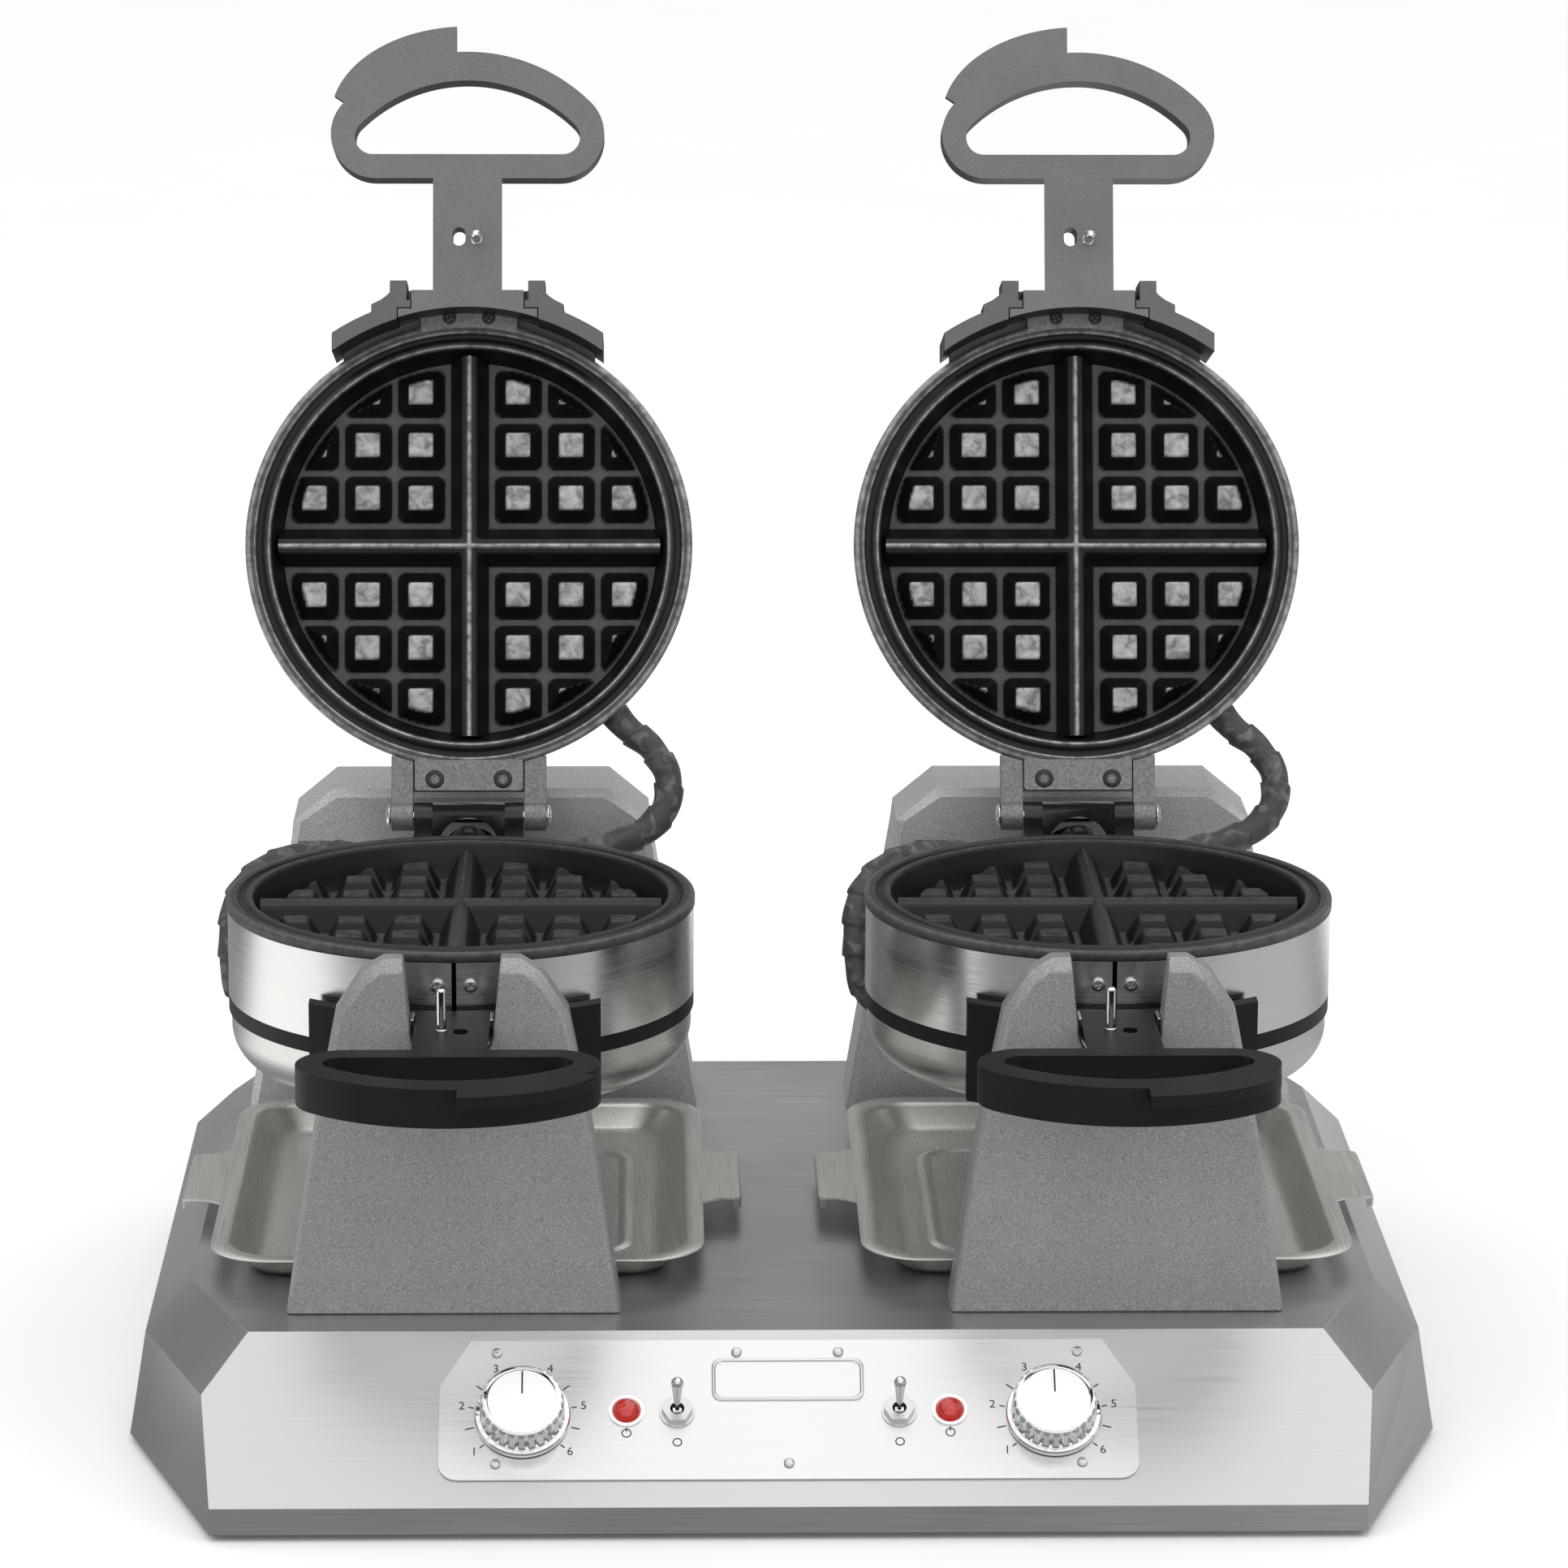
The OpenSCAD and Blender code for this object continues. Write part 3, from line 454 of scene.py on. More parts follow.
# The lid's handle and bracket are the same black casting as the drum's. Their lighter body and
# much lighter faces towards LID_FACE are painted light; the drum's tops are painted only a little
# lighter
LID_FACE = (0, -0.956, 0.292)
UP = (0, 0, 1)
black_grip = faced("black_grip", (0.0085, 0.0085, 0.0085), (0.011, 0.011, 0.011), UP)
black_cast = faced("black_cast", (0.0085, 0.0085, 0.0085), (0.012, 0.012, 0.012), UP)
lid_grip_lit = faced("lid_grip_lit", (0.02, 0.02, 0.021), (0.15, 0.15, 0.152), LID_FACE)
lid_cast_lit = faced("lid_cast_lit", (0.02, 0.02, 0.021), (0.115, 0.115, 0.117), LID_FACE)
hinge_cast = cast("hinge_cast", (0.2, 0.2, 0.2), 0.42, 0.55)
yoke_cast = moulded("yoke_cast", (0.012, 0.012, 0.013), 0.2, 500, 0.15, 0.04)
post_paint = hammered("hammered_paint", (0.29, 0.29, 0.292))
# Same hammered paint as the front posts, painted lighter as painted light on the shaded rear posts
rear_paint_lit = hammered("hammered_paint_rear", (0.46, 0.46, 0.462))
base_steel = brushed("base_steel", (0.55, 0.55, 0.555), 0.34)
panel_face = brushed("panel_aluminium", (0.7, 0.7, 0.7), 0.32, 0.03)
floor_steel = brushed("floor_steel", (0.35, 0.35, 0.35), 0.45)
tray_steel = brushed("tray_steel", (0.7, 0.685, 0.65), 0.3, 0.03, "y", 0.86)
foot_rubber = moulded("foot_rubber", (0.02, 0.02, 0.02), 0.7, 600)
lamp_red = lens("lamp_red", (0.5, 0.012, 0.006))
# Same coating on drum and lid; the lid's much higher worn level is partly real wear and partly a
# painted highlight
drum_coating = coated("drum_coating", 0.1)
lid_coating = coated("lid_coating", 1.0)
cable_wrap = wrap_material("cable_wrap")
element_metal = cast("element_metal", (0.16, 0.14, 0.13), 0.5, 0.7)
thermostat_body = moulded("thermostat_body", (0.42, 0.36, 0.24), 0.5, 500)
print_ink = moulded("print_ink", (0.02, 0.02, 0.02), 0.6, 1500)

# ---------- cables ----------

DRUM_STOPS = [(-20.6, 113, -24), (-36, 112, -18), (-56, 104, -10), (-76, 93, -8),
              (-93, 77, -11), (-102, 62, -20), (-104, 52, -34), (-103, 44, -49),
              (-99, 39.5, -58), (-93.6, 36.5, -61)]
LID_STOPS = [(20.6, 113, -24), (38, 118, -17), (56, 121, -12), (72, 124, -8),
             (84, 127, -2), (91, 131, 8), (91, 136, 20), (84, 141, 31), (71.8, 145.8, 40.3),
             (66.8, 147.5, 46)]


def smooth_route(stops, steps):
    """The curve through the given stops that the CAD model uses"""
    p = [Vector(s) for s in stops]
    route = []
    for i in range(len(p) - 1):
        a, b, c, d = p[max(i - 1, 0)], p[i], p[i + 1], p[min(i + 2, len(p) - 1)]
        for k in range(steps):
            t = k / steps
            route.append(0.5 * (2 * b + (c - a) * t + (2 * a - 5 * b + 4 * c - d) * t * t
                                + (3 * b - a - 3 * c + d) * t ** 3))
    return route + [p[-1]]


def wrapped_tube(route, turns_every, sides=28):
    """A tube wound with tape: each turn starts thin and ends at a small raised edge"""
    loops, walked = [], 0.0
    normal = Vector((0.3, 0.2, 1))
    for i, point in enumerate(route):
        ahead = (route[min(i + 1, len(route) - 1)] - route[max(i - 1, 0)]).normalized()
        if i:
            walked += (point - route[i - 1]).length
        u = (normal - ahead * normal.dot(ahead)).normalized()
        normal, v = u, ahead.cross(u)
        loop = []
        for k in range(sides):
            a = 2 * math.pi * k / sides
            turn = (walked + 2.2 * math.sin(a + walked * 0.05)) / turns_every % 1.0
            crease = 0.16 * math.sin(2 * a + walked * 0.11) + 0.12 * math.sin(5 * a + walked * 0.4)
            off_seam = (a - 1.9 + 0.4 * math.sin(walked * 0.07)) / 0.16
            r = CABLE_D / 2 - 0.9 + 1.0 * turn ** 1.4 + crease + 0.35 * math.exp(-off_seam ** 2)
            loop.append(point + (u * math.cos(a) + v * math.sin(a)) * r)
        loops.append(loop)
    return loft(loops)


def make_cable(name, side, stops, node):
    fine = smooth_route(stops, 24)
    mesh = mesh_from(name, *wrapped_tube(fine, 15))
    obj = add_object(name, mesh, unit_matrix(side), None, [cable_wrap], 50)
    path = [(unit_matrix(side) @ p) * MM for p in smooth_route(stops, 3)]
    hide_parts(node)
    return obj, path


for label, side in SIDES.items():
    cable, _ = make_cable(f"{label}_drum_lead", side, DRUM_STOPS, f"{label}_drum_cable")
    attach(cable, f"{label}_drum")
    cable, path = make_cable(f"{label}_lid_lead", side, LID_STOPS, f"{label}_lid_cable")
    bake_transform(cable)

# ---------- finishes for the CAD nodes ----------

FINISHES = {
    "lid_bracket": (lid_cast_lit, 1.0), "lid_handle": (lid_grip_lit, 1.1),
    "lid_hinge_leaf": (hinge_cast, 0.7), "lid_element": (element_metal, 0.4),
    "lid_latch_pin": (chrome, 0.3), "drum_bracket": (black_cast, 1.2),
    "drum_handle": (black_grip, 1.3), "drum_latch_pin": (chrome, 0.3),
    "drum_element": (element_metal, None), "hinge_yoke": (yoke_cast, 0.7),
    "hinge_pin": (chrome, 0.3), "toggle": (chrome, None),
    "front_post": (post_paint, 1.0), "rear_post": (rear_paint_lit, 1.0),
    "base_shell": (base_steel, 1.6), "base_floor": (floor_steel, None),
    "feet": (foot_rubber, 0.6), "control_panel": (panel_face, 0.25),
    "panel_rivets": (bright_screw, 0.3), "lamps": (lamp_red, None),
    "switch_bodies": (bright_screw, 0.25), "thermostats": (thermostat_body, 0.5),
    "pivot_bushes": (chrome, 0.3), "rear_covers": (hinge_cast, 0.4),
}


def finish_node(name, material, bevel):
    obj = nodes[name]
    mesh = obj.data
    if mesh.has_custom_normals:
        with bpy.context.temp_override(object=obj, active_object=obj):
            bpy.ops.mesh.customdata_custom_splitnormals_clear()
    mesh.materials.clear()
    mesh.materials.append(material)
    mesh.polygons.foreach_set("material_index", [0] * len(mesh.polygons))
    mesh.polygons.foreach_set("use_smooth", [True] * len(mesh.polygons))
    weld = obj.modifiers.new("weld", "WELD")
    weld.merge_threshold = 0.01 * MM
    flat = obj.modifiers.new("flat", "DECIMATE")
    flat.decimate_type = "DISSOLVE"
    flat.angle_limit = math.radians(0.6)
    if bevel:
        round_edges(obj, bevel, 2, 32)
    else:
        split = obj.modifiers.new("creases", "EDGE_SPLIT")
        split.split_angle = math.radians(35)


for label, side in SIDES.items():
    lower = unit_matrix(side)
    upper = open_lid(side)
    for piece, color, matrix, roughness in (("drum_bowl", (0.66, 0.65, 0.63), lower, 0.3),
                                            ("drum_band", (0.7, 0.695, 0.68), lower, 0.24),
                                            ("lid_cover", (0.66, 0.65, 0.63), upper, 0.3)):
        steel = spun(f"{label}_{piece.split('_')[1]}_steel", color, matrix, roughness)
        FINISHES[f"{label}_{piece}"] = (steel, None)

for node_name in nodes:
    bare = node_name.split("_", 1)[1] if node_name.split("_", 1)[0] in SIDES else node_name
    entry = FINISHES.get(node_name) or FINISHES.get(bare)
    if entry:
        finish_node(node_name, *entry)

# ---------- waffle plates ----------

BUMP_AT = (22.4, 46.9, 71.4)
BUMP_FOOT, BUMP_TOP, BUMP_H = 10.8, 5.5, 10.3
GRID_R = 84.6
DIVIDER = ((8.6, 0.0), (3.5, 10.8), (1.5, 11.9), (0.75, 13.3), (0.0, 13.5))


def grid_lines(step=1.05):
    """Grid coordinates that fall on every edge of the pattern, with even steps between"""
    marks = {0.0, 89.0}
    for centre in BUMP_AT:
        for reach in (BUMP_FOOT + 0.25, BUMP_FOOT - 0.3, BUMP_TOP + 0.35, BUMP_TOP - 0.25):
            marks |= {centre - reach, centre + reach}
    marks |= {half for half, _ in DIVIDER}
    marks |= {0.4, 7.6}
    edges = sorted(m for m in marks if m <= 89)
    lines = []
    for a, b in zip(edges, edges[1:]):
        count = max(1, round((b - a) / step))
        lines += [a + (b - a) * i / count for i in range(count)]
    lines.append(edges[-1])
    return np.array([-v for v in reversed(lines[1:])] + lines)


def waffle_height(x, y):
    """Height above the cavity's floor, and two marks: worn tops and crest, and a painted sheen
    (painted highlight) on flat channels and divider shoulders
    """
    r = np.hypot(x, y)
    height = np.zeros_like(x)
    top = np.zeros_like(x)
    ax, ay = np.abs(x), np.abs(y)
    for cx in BUMP_AT:
        for cy in BUMP_AT:
            dx, dy = np.abs(ax - cx), np.abs(ay - cy)
            across = (dx ** 9 + dy ** 9) ** (1 / 9)
            across = np.maximum(across, r - GRID_R + BUMP_FOOT)
            raised = np.clip((BUMP_FOOT - across) / (BUMP_FOOT - BUMP_TOP), 0, 1.06) * BUMP_H
            raised = BUMP_H - np.sqrt(np.maximum(BUMP_H - raised, 0) ** 2 + 0.16) + 0.4
            raised = np.clip(raised, 0, BUMP_H)
            height = np.maximum(height, np.where(across < BUMP_FOOT, raised, 0))
            top = np.maximum(top, np.clip((BUMP_TOP + 0.35 - across) / 0.55, 0, 1))
    bar = np.minimum(ax, ay)
    halves = [half for half, _ in reversed(DIVIDER)]
    rises = [rise for _, rise in reversed(DIVIDER)]
    divider = np.interp(bar, halves, rises, right=0)
    crest = np.clip((0.95 - bar) / 0.3, 0, 1)
    # painted highlight: flat channel floors and the divider's shoulders are painted lighter
    painted_sheen = ((height < 0.2) & (bar > 9.3) & (r < 86.6)).astype(float)
    painted_sheen = np.maximum(painted_sheen, 0.3 * ((bar > 1.4) & (bar < 3.3)))
    return np.maximum(height, divider), np.maximum(top, crest), painted_sheen


RIM_RINGS = [  # radius, height, wear, painted sheen (painted highlight)
    (86.0, -16.6, 0, 0), (87.0, -15.2, 0, 0), (88.2, -11, 0, 0), (90.6, -2.2, 0, 0),
    (91.2, -0.7, 0.1, 0.2), (91.7, -0.15, 0.8, 0.3), (92.1, 0, 0.9, 0.3), (92.5, 0, 0.1, 0.2),
    (93.9, -0.1, 0, 0.1), (94.8, -0.9, 0, 0), (95.4, -1.3, 0, 0), (97.1, -1.3, 0, 0),
    (97.7, -0.9, 0, 0), (98.2, -0.2, 0.6, 0.2), (98.5, 0, 0.95, 0.3), (98.9, 0, 0.15, 0.3),
    (100.2, 0, 0.1, 0.25), (100.9, -0.05, 0.6, 0.5), (101.9, -0.15, 0.8, 0.6),
    (102.6, -0.7, 0.85, 0.6), (102.8, -1.3, 0.7, 0.5), (102.8, -4.2, 0.2, 0.3),
    (102.4, -4.6, 0, 0), (94.2, -4.6, 0, 0), (94, -4.9, 0, 0), (94, -10, 0, 0),
    (86, -21.3, 0, 0), (85.5, -21.5, 0, 0)]


def plate_mesh(name, mirror):
    """Grid of bumps and dividers, and the turned rim and underside, in one mesh"""
    lines = grid_lines()
    n = len(lines)
    x, y = np.meshgrid(lines, lines)
    height, top, painted_sheen = waffle_height(x, y)
    points = np.stack([x.ravel(), y.ravel(), (height - CAVITY).ravel()], 1)
    keep = np.hypot(x, y).ravel() < 88.4
    index = np.arange(n * n).reshape(n, n)
    quads = np.stack([index[:-1, :-1], index[:-1, 1:], index[1:, 1:], index[1:, :-1]],
                     -1).reshape(-1, 4)
    quads = quads[keep[quads].all(1)]
    used = np.unique(quads)
    lookup = np.full(n * n, -1)
    lookup[used] = np.arange(len(used))
    faces = [tuple(q) for q in lookup[quads].tolist()]
    points = points[used].tolist()
    wears = top.ravel()[used].tolist()
    painted_sheens = painted_sheen.ravel()[used].tolist()
    segments = 180
    rim_points, rim_faces = lathe([(r, z) for r, z, _, _ in RIM_RINGS], segments, False, True)
    base = len(points)
    points += rim_points
    faces += [tuple(base + v for v in f) for f in rim_faces]
    for _, _, wear, painted_shine in RIM_RINGS:
        wears += [wear] * segments
        painted_sheens += [painted_shine] * segments
    if mirror:
        points = [(a, b, -c) for a, b, c in points]
        faces = [f[::-1] for f in faces]
    mesh = bpy.data.meshes.new(name)
    mesh.from_pydata(points, [], faces)
    for key, values in (("wear", wears), ("painted_sheen", painted_sheens)):
        mesh.attributes.new(key, "FLOAT", "POINT").data.foreach_set("value", values)
    return mesh


def rim_pad(name, matrix, body, material):
    """Cast pad at the front of the lid's rim that takes the two screws"""
    under_rim = 100.4
    across = np.linspace(-PAD_HALF_W, PAD_HALF_W, 21)
    outer = [(x, -math.sqrt(PAD_R ** 2 - x * x)) for x in across]
    inner = [(x, -math.sqrt(under_rim ** 2 - x * x)) for x in across[::-1]]
    points, faces = loft([level(outer + inner, -0.06), level(outer + inner, RIM_T)])
    return add_object(name, mesh_from(name, points, faces), matrix, body, [material], 30, 0.5)


for label, side in SIDES.items():
    plate = add_object(f"{label}_drum_waffle_plate", plate_mesh(f"{label}_drum_grid", False),
                       unit_matrix(side), f"{label}_drum", [drum_coating], 60, None)
    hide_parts(f"{label}_drum_plate")
    lifted = open_lid(side) @ Matrix.Translation((0, 0, LID_GAP))
    plate = add_object(f"{label}_lid_waffle_plate", plate_mesh(f"{label}_lid_grid", True),
                       lifted, f"{label}_lid", [lid_coating], 60, None)
    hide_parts(f"{label}_lid_plate")
    rim_pad(f"{label}_lid_rim_pad", lifted, f"{label}_lid", hinge_cast)
    corner, lug_from = 1.2, 99
    half = [(LUG_HALF_W, lug_from), (LUG_HALF_W, LUG_Y - corner), (LUG_HALF_W - corner, LUG_Y)]
    lug = half + [(-x, y) for x, y in reversed(half)]
    points, faces = loft([level(lug, -0.1), level(lug, RIM_T)])
    add_object(f"{label}_lid_lug", mesh_from(f"{label}_lug", points, faces), lifted,
               f"{label}_lid", [hinge_cast], 30, 0.5)

# ---------- screws ----------


def screw_head(radius, rise, recess=1.1):
    """Domed head with a cross recess, standing on z = 0 and facing +Z"""
    arm, half = radius * 0.55, radius * 0.16
    cross = [(half, half), (half, arm), (-half, arm), (-half, half), (-arm, half), (-arm, -half),
             (-half, -half), (-half, -arm), (half, -arm), (half, -half), (arm, -half),
             (arm, half)]
    bm = bmesh.new()
    edge = [bm.verts.new((radius * 0.8 * math.cos(a), radius * 0.8 * math.sin(a), rise))
            for a in (2 * math.pi * k / 32 for k in range(32))]
    slot_top = [bm.verts.new((x, y, rise)) for x, y in cross]
    for loop in (edge, slot_top):
        for a, b in zip(loop, loop[1:] + loop[:1]):
            bm.edges.new((a, b))
    bmesh.ops.triangle_fill(bm, use_beauty=True, edges=bm.edges[:])
    low = [bm.verts.new((x * 0.8, y * 0.8, rise - recess)) for x, y in cross]
    for k in range(12):
        bm.faces.new((slot_top[k], slot_top[(k + 1) % 12], low[(k + 1) % 12], low[k]))
    bm.faces.new(low)
    ring = edge
    for r, z in ((0.93, rise * 0.82), (1.0, rise * 0.45), (1.0, -0.4)):
        lower_ring = [bm.verts.new((radius * r * math.cos(a), radius * r * math.sin(a), z))
                      for a in (2 * math.pi * k / 32 for k in range(32))]
        for k in range(32):
            bm.faces.new((ring[k], ring[(k + 1) % 32], lower_ring[(k + 1) % 32], lower_ring[k]))
        ring = lower_ring
    bm.faces.new(ring)
    inside = [f for f in bm.faces if all(v in slot_top for v in f.verts)]
    bmesh.ops.delete(bm, geom=inside, context="FACES_ONLY")
    bmesh.ops.recalc_face_normals(bm, faces=bm.faces)
    mesh = bpy.data.meshes.new("screw")
    bm.to_mesh(mesh)
    bm.free()
    return mesh


def add_screw(name, matrix, body, radius, rise, turn, material):
    spun_matrix = matrix @ Matrix.Rotation(math.radians(turn), 4, "Z")
    return add_object(name, screw_head(radius, rise, rise * 0.8), spun_matrix, body, [material],
                      40)


FLIP_OVER = Matrix.Rotation(math.pi, 4, "X")
FORWARD = Matrix.Rotation(math.radians(90), 4, "X")
for label, side in SIDES.items():
    lower = unit_matrix(side)
    lifted = open_lid(side) @ Matrix.Translation((0, 0, LID_GAP))
    for i, way in enumerate((-1, 1)):
        rim_at = Matrix.Translation((way * RIM_SCREW[0], RIM_SCREW[1], 0))
        add_screw(f"{label}_lid_rim_screw_{i}", lifted @ rim_at @ FLIP_OVER,
                              f"{label}_lid", 3.1, 0.4, 20 + 30 * i, dark_screw)
        leaf_at = Matrix.Translation((way * LEAF_SCREW[0], LEAF_SCREW[1], 0.4))
        add_screw(f"{label}_leaf_screw_{i}", lifted @ leaf_at @ FLIP_OVER,
                              f"{label}_lid", 4.3, 1.0, 40 - 25 * i, dark_screw)
    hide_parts(f"{label}_lid_screws")
    for i, way in enumerate((-1, 1)):
        band_at = Matrix.Translation((way * BAND_SCREW[0], -BAND_R, BAND_SCREW[1]))
        add_screw(f"{label}_band_screw_{i}", lower @ band_at @ FORWARD,
                              f"{label}_drum", 3.0, 1.5, 10 + 40 * i, bright_screw)
    section = [(AXLE_R, 0), (AXLE_R + 2.2, 0), (AXLE_R + 2.2, 1.6), (AXLE_R, 1.6)]
    add_object(f"{label}_axle_ring", mesh_from("axle_ring", *closed_lathe(section, 48)),
               lower @ Matrix.Translation((0, AXLE_RING_Y, -FLIP_DROP)) @ FORWARD,
               f"{label}_drum", [bright_screw], 40)
    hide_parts(f"{label}_drum_screws")

# ---------- washers at the latch pins ----------

FLIP_TURN = Matrix.Rotation(math.pi, 4, "Y")


def pin_washer(name, matrix, body):
    """Small collar with eased edges where a latch pin stands on its handle"""
    inner, outer, height, ease = 2.12, 2.65, 0.9, 0.25
    profile = [(inner, 0), (outer, 0), (outer, height - ease), (outer - ease, height),
               (inner + ease, height), (inner, height - ease)]
    pin_at = Matrix.Translation((-PIN_X, -PIN_D, -FLIP_DROP - LID_GAP / 2))
    add_object(name, mesh_from(name, *closed_lathe(profile, 40)), matrix @ pin_at, body,
               [chrome], 35)


for label, side in SIDES.items():
    axis_at = Matrix.Translation((0, 0, -FLIP_DROP))
    turned_over = open_lid(side) @ axis_at @ FLIP_TURN @ axis_at.inverted()
    pin_washer(f"{label}_drum_pin_washer", unit_matrix(side), f"{label}_drum")
    pin_washer(f"{label}_lid_pin_washer", turned_over, f"{label}_lid")

# ---------- trays ----------

TRAY_W, TRAY_D, TRAY_H, TRAY_Y = 213, 243, 12.5, 11.5


def build_tray(name, bead_side):
    steel = 0.9

    def ring(inset, z, corner):
        return level(rounded_rect(TRAY_W - 2 * inset, TRAY_D - 2 * inset, corner, 10), z)

    section = [(24.0, 0.9, 12), (21.5, 0.95, 14), (18.2, 1.7, 16), (16.2, 3.6, 17),
               (9.8, TRAY_H - 2, 20.5), (8.8, TRAY_H - 0.5, 21), (7.4, TRAY_H, 22),
               (0.8, TRAY_H, 25.4), (0.3, TRAY_H - 0.3, 25.8), (0.3, TRAY_H - steel + 0.2, 25.8),
               (0.8, TRAY_H - steel, 25.4), (6.8, TRAY_H - steel, 22),
               (8.2, TRAY_H - steel - 0.3, 21), (9.2, TRAY_H - 2.4, 20.5), (15.5, 2.8, 17),
               (17.6, 0.8, 16), (21.0, 0.05, 14), (24.0, 0.0, 12)]
    parts = [(*loft([ring(*v) for v in section]), 0)]
    for sx in (-1, 1):
        profile = [(-0.7, TRAY_H), (1.5, TRAY_H), (4, TRAY_H), (8, TRAY_H), (15.2, TRAY_H),
                   (16.2, TRAY_H - 0.3), (16.6, TRAY_H - 1), (16.6, TRAY_H - 5),
                   (15.7, TRAY_H - 5), (15.7, TRAY_H - 1.2), (15.2, TRAY_H - 0.9),
                   (8, TRAY_H - 0.9), (4, TRAY_H - 0.9), (1.5, TRAY_H - 0.9),
                   (-0.7, TRAY_H - 0.9)]
        rows = []
        for y, cut in ((-34, 3.5), (-33, 0.9), (-31, 0), (31, 0), (33, 0.9), (34, 3.5)):
            rows.append([(sx * (TRAY_W / 2 + min(a, 16.6 - cut)),
                          y * (1 + 0.16 * max(0, 1 - max(a, 0) / 8) ** 1.6), z)
                         for a, z in profile])
        parts.append((*loft(rows), 0))
    bead_w, bead_d, bead_corner = 124, 150, 16
    rise = [(3.4, 0.85), (2.2, 1.35), (0.9, 1.9), (-0.9, 1.9), (-2.2, 1.35), (-3.4, 0.85)]
    rows = []
    for grow, z in rise:
        loop = rounded_rect(bead_w + 2 * grow, bead_d + 2 * grow, bead_corner + grow, 8)
        rows.append([(bead_side * 10 + x, y, z) for x, y in loop])
    parts.append((*loft(rows, False, False), 0))
    points, faces, indices = join(parts)
    return mesh_from(name, points, faces, indices)


for label, side in SIDES.items():
    matrix = Matrix.Translation((side * UNIT_X, TRAY_Y, DECK_Z))
    tray = add_object(f"{label}_drip_tray", build_tray(f"{label}_drip_tray", -side), matrix,
                      f"{label}_tray", [tray_steel], 38, None)
    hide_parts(f"{label}_tray")

# ---------- control panel ----------

KNOB_X, LAMP_X, SWITCH_X, ROW = 110, 67, 46, 42.5
FLUTES = 26
KNOB_TOP = 14.78
DIGITS, DIAL_SWEEP, DIGIT_R, TICK_FROM = 6, 260, 25.8, 20.6
OFF_MARK, POWER_MARK = 30.2, 34.6


def knob_mesh(name):
    """Turned knob with a fluted side, a plain skirt and a flat bright top"""
    steps = FLUTES * 8

    def loop(radius, z, depth):
        row = []
        for k in range(steps):
            a = 2 * math.pi * k / steps
            cut = depth * max(0.0, math.cos(a * FLUTES)) ** 1.5
            row.append(((radius - cut) * math.cos(a), (radius - cut) * math.sin(a), z))
        return row

    r = 17.5
    section = [(19.2, 1.6, 0), (19.9, 1.8, 0), (19.9, 3.2, 0), (19.3, 3.9, 0), (17.7, 4.2, 0.1),
               (r, 4.8, 1.1), (r, 12.6, 1.1), (r - 0.3, 13.6, 0.5), (r - 0.8, 14.3, 0.0),
               (r - 1.7, 14.75, 0), (r - 3, 14.8, 0)]
    return mesh_from(name, *loft([loop(*v) for v in section]))


def flat_shape(name, loop, matrix, body, material, thickness=0.06):
    points, faces = loft([level(loop, 0), level(loop, thickness)])
    return add_object(name, mesh_from(name, points, faces), matrix, body, [material], 30)


def digit(name, text, matrix, size, material):
    curve = bpy.data.curves.new(name, "FONT")
    curve.body = text
    curve.size = size
    curve.align_x = curve.align_y = "CENTER"
    curve.extrude = 0.03
    source = bpy.data.objects.new(name + "_source", curve)
    bpy.context.scene.collection.objects.link(source)
    bpy.context.view_layer.update()
    mesh = bpy.data.meshes.new_from_object(source)
    mesh.name = name
    bpy.data.objects.remove(source)
    mesh.materials.clear()
    return add_object(name, mesh, matrix, "root", [material], 30)


def ring_shape(name, x, along, inner, outer, material, height=0.06):
    sides = 48
    section = [(inner, 0), (outer, 0), (outer, height), (inner, height)]
    add_object(name, mesh_from(name, *closed_lathe(section, sides)),
               on_panel(x, along, PANEL_T), "root", [material], 30)


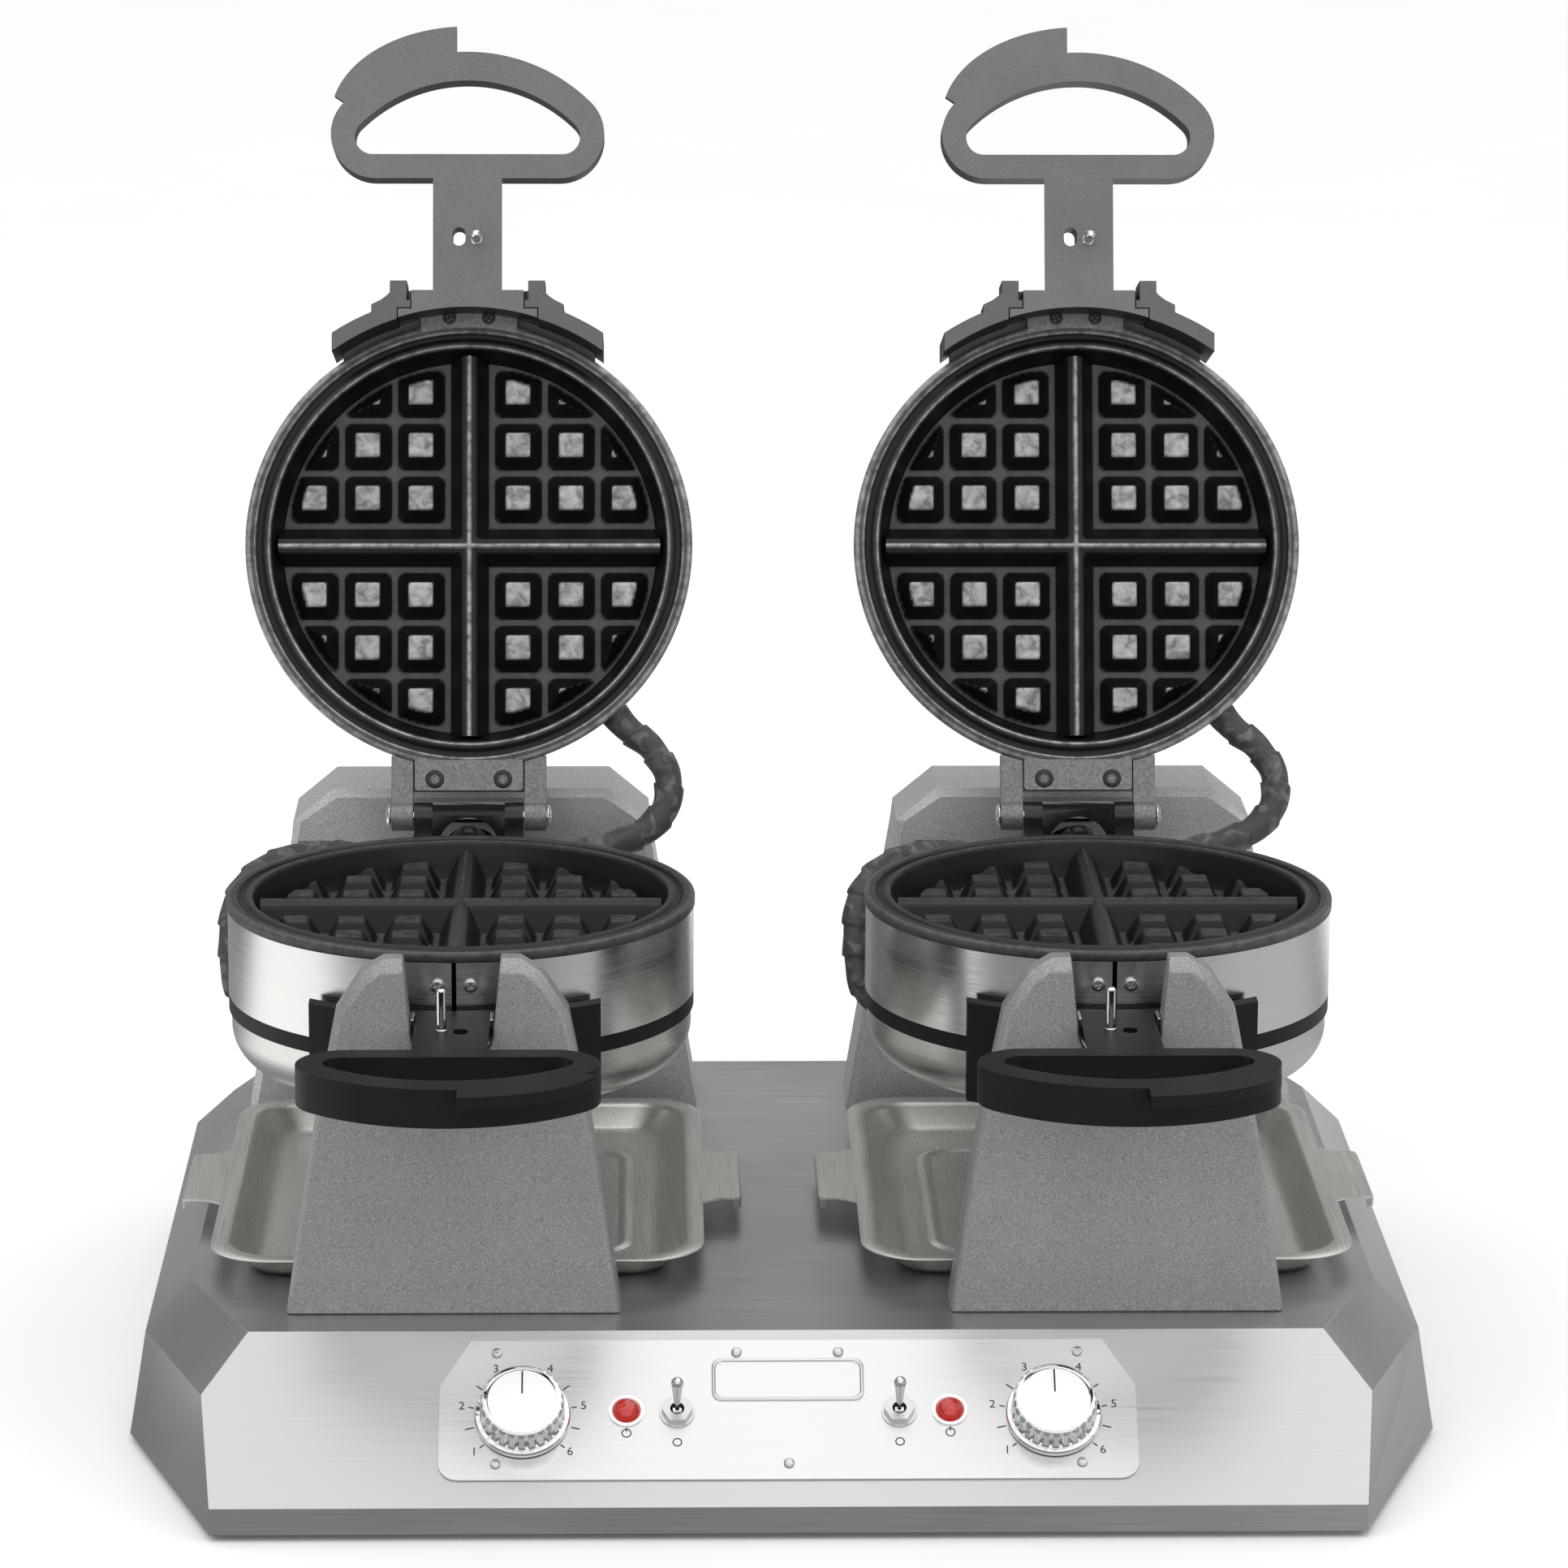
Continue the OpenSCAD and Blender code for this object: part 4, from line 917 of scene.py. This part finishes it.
for label, side in SIDES.items():
    knob = add_object(f"{label}_dial_knob", knob_mesh(f"{label}_dial_knob"),
                      on_panel(side * KNOB_X, ROW), f"{label}_knob", [chrome], 35, None)
    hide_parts(f"{label}_knob")
    disc = lathe([(14.2, -0.3), (14.2, 0.08), (13.9, 0.16), (6, 0.18)], 72)
    add_object(f"{label}_knob_face", mesh_from("knob_face", *disc),
               on_panel(side * KNOB_X, ROW, KNOB_TOP), f"{label}_knob", [knob_top], 35)
    mark = [(-0.35, 3), (0.35, 3), (0.35, 13.8), (-0.35, 13.8)]
    flat_shape(f"{label}_knob_mark", mark, on_panel(side * KNOB_X, ROW, KNOB_TOP + 0.17),
               f"{label}_knob", print_ink)
    step = math.radians(DIAL_SWEEP / (DIGITS - 1))
    dial = on_panel(side * KNOB_X, ROW, PANEL_T)
    for i in range(DIGITS):
        angle = math.radians(90 + DIAL_SWEEP / 2) - step * i
        at = Vector((math.cos(angle), math.sin(angle))) * DIGIT_R
        digit(f"{label}_digit_{i + 1}", str(i + 1),
              on_panel(side * KNOB_X + at.x, ROW + at.y, PANEL_T + 0.03), 5.4, print_ink)
        marks = [("tick", angle, 2.3)]
        if i < DIGITS - 1:
            marks.append(("half_tick", angle - step / 2, 3.8))
        for kind, turn, reach in marks:
            bar = [(TICK_FROM, -0.28), (TICK_FROM + reach, -0.28), (TICK_FROM + reach, 0.28),
                   (TICK_FROM, 0.28)]
            flat_shape(f"{label}_{kind}_{i + 1}", bar, dial @ Matrix.Rotation(turn, 4, "Z"),
                       "root", print_ink)
    ring_shape(f"{label}_off_mark", side * SWITCH_X, OFF_MARK, 1.5, 2.0, print_ink)
    ring_shape(f"{label}_power_mark", side * LAMP_X, POWER_MARK, 1.6, 2.1, print_ink)
    bar = [(-0.25, 0.6), (0.25, 0.6), (0.25, 2.7), (-0.25, 2.7)]
    flat_shape(f"{label}_power_bar", bar, on_panel(side * LAMP_X, POWER_MARK, PANEL_T), "root",
               print_ink, 0.08)
    ring_shape(f"{label}_lamp_bezel", side * LAMP_X, ROW + 2.5, 5.6, 7.3, chrome, 0.9)


def badge():
    """Blank raised nameplate frame in the middle of the panel"""
    width, height, corner, along = 63.2, 20, 4, 60
    rows = []
    for grow, z in ((0, 0), (0, 0.6), (-0.5, 0.95), (-1.1, 0.95), (-1.6, 0.5), (-2.4, 0.42),
                    (-3, 0.42)):
        rows.append(level(rounded_rect(width + 2 * grow, height + 2 * grow,
                                       corner + grow * 0.6, 6), z))
    add_object("badge_plate", mesh_from("badge_plate", *loft(rows)),
               on_panel(0, along, PANEL_T), "root", [panel_face], 35)


badge()

# ---------- floor, light and the room that the metal reflects ----------

# height of the reflected direction, brightness
ROOM_RAMP = ((0.0, 0.74), (0.1, 0.5), (0.2, 0.13), (0.32, 0.18), (0.52, 0.72), (1.0, 1.42))
SOFT_BOX, FLOOR_GLOW = 0.9, 0.3
# x range, y range and soft edge in metres, brightness
FLOOR_SHEETS = (
    ((-1.5, -0.5), (-0.45, 0.35), 0.16, 1.1),
    ((0.25, 1.6), (-0.6, 0.4), 0.2, 0.3),
    ((0.1, 1.4), (0.6, 1.4), 0.15, 0.8),
)


def soft_box(n, along, across, x_range, y_range, edge):
    """1 inside a rectangle of the plane, falling softly to 0 over the edge's width"""
    total = None
    for value, (low, high) in ((along, x_range), (across, y_range)):
        for at, sign in ((low, 1), (high, -1)):
            side_of = n.math("MULTIPLY", n.math("SUBTRACT", value, at), sign)
            step = n.new("ShaderNodeMapRange", {0: side_of, 1: -edge, 2: edge, 3: 0.0, 4: 1.0},
                         interpolation_type="SMOOTHSTEP").outputs[0]
            total = n.math("MULTIPLY", total, step) if total else step
    return total


def make_floor():
    """White to the eye; in reflections, a dark studio floor with bright sheets on it"""
    n = Nodes("floor")
    cloud = n.noise((3, 3, 3), detail=3)
    n.set(Base_Color=n.tinted((0.93, 0.93, 0.93), n.fit(cloud, 0.3, 0.7, 0.99, 1.005)),
          Roughness=0.8, Specular_IOR_Level=0.1)
    split = n.new("ShaderNodeSeparateXYZ", {0: n.coords})
    x, y = split.outputs[0], split.outputs[1]
    glow = FLOOR_GLOW
    for x_range, y_range, edge, value in FLOOR_SHEETS:
        sheet = n.math("MULTIPLY", soft_box(n, x, y, x_range, y_range, edge), value)
        glow = n.math("ADD", glow, sheet)
    room = n.new("ShaderNodeEmission", {"Color": (1, 1, 1, 1), "Strength": glow}).outputs[0]
    glossy = n.new("ShaderNodeLightPath").outputs["Is Glossy Ray"]
    mix = n.new("ShaderNodeMixShader", {0: glossy, 1: n.shader.outputs[0], 2: room}).outputs[0]
    n.tree.links.new(mix, n.tree.nodes["Material Output"].inputs["Surface"])
    points = [(-9000, -6000, 0), (9000, -6000, 0), (9000, 24000, 0), (-9000, 24000, 0)]
    floor = add_object("floor", mesh_from("floor", points, [(0, 1, 2, 3)]), Matrix.Identity(4),
                       None, [n.material])


def area_light(name, at, target, size, power):
    data = bpy.data.lights.new(name, "AREA")
    data.energy = power
    data.size = size
    light = bpy.data.objects.new(name, data)
    light.location = at
    light.rotation_mode = "QUATERNION"
    aim = Vector(target) - Vector(at)
    light.rotation_quaternion = aim.to_track_quat("-Z", "Y")
    light.visible_glossy = False
    bpy.context.scene.collection.objects.link(light)


class WorldNodes(Nodes):
    """The same hand for the world's nodes"""

    def __init__(self, world):
        self.tree = world.node_tree
        self.coords = self.tree.nodes.new("ShaderNodeTexCoord").outputs["Generated"]


def make_world():
    """Even pale light for surfaces, and for reflections a room that is grey at the horizon,
    bright overhead and has one soft box beside the camera"""
    world = bpy.data.worlds.new("studio")
    bpy.context.scene.world = world
    world.use_nodes = True
    n = WorldNodes(world)
    back = n.tree.nodes["Background"]
    back.inputs["Color"].default_value = (1, 1, 1, 1)
    back.inputs["Strength"].default_value = 1.06
    split = n.new("ShaderNodeSeparateXYZ", {0: n.coords})
    x, y, z = split.outputs
    ramp = n.new("ShaderNodeValToRGB", {"Fac": z})
    while len(ramp.color_ramp.elements) < len(ROOM_RAMP):
        ramp.color_ramp.elements.new(0.5)
    for element, (place, value) in zip(ramp.color_ramp.elements, ROOM_RAMP):
        element.position = place
        element.color = (value, value, value, 1)
    level_now = n.math("MULTIPLY", ramp.outputs["Color"], n.fit(x, -1, 1, 0.8, 1.25))
    box = n.math("MULTIPLY", soft_box(n, x, z, (-0.6, 0.6), (0.12, 0.5), 0.12),
                 n.fit(y, -0.5, -0.8, 0.0, SOFT_BOX))
    room = n.new("ShaderNodeBackground",
                 {"Color": (1, 1, 1, 1), "Strength": n.math("ADD", level_now, box)}).outputs[0]
    glossy = n.new("ShaderNodeLightPath").outputs["Is Glossy Ray"]
    mix = n.new("ShaderNodeMixShader", {0: glossy, 1: back.outputs[0], 2: room}).outputs[0]
    n.tree.links.new(mix, n.tree.nodes["World Output"].inputs["Surface"])


make_floor()
make_world()
CENTRE = (0, 0, 0.25)
area_light("key", (-1.5, -1.7, 1.9), CENTRE, 1.4, 9)
area_light("fill", (1.8, -1.4, 1.3), CENTRE, 1.2, 5)
area_light("top", (0.0, 0.1, 2.4), CENTRE, 2.2, 7)
scene = bpy.context.scene
scene.view_settings.view_transform = "Standard"
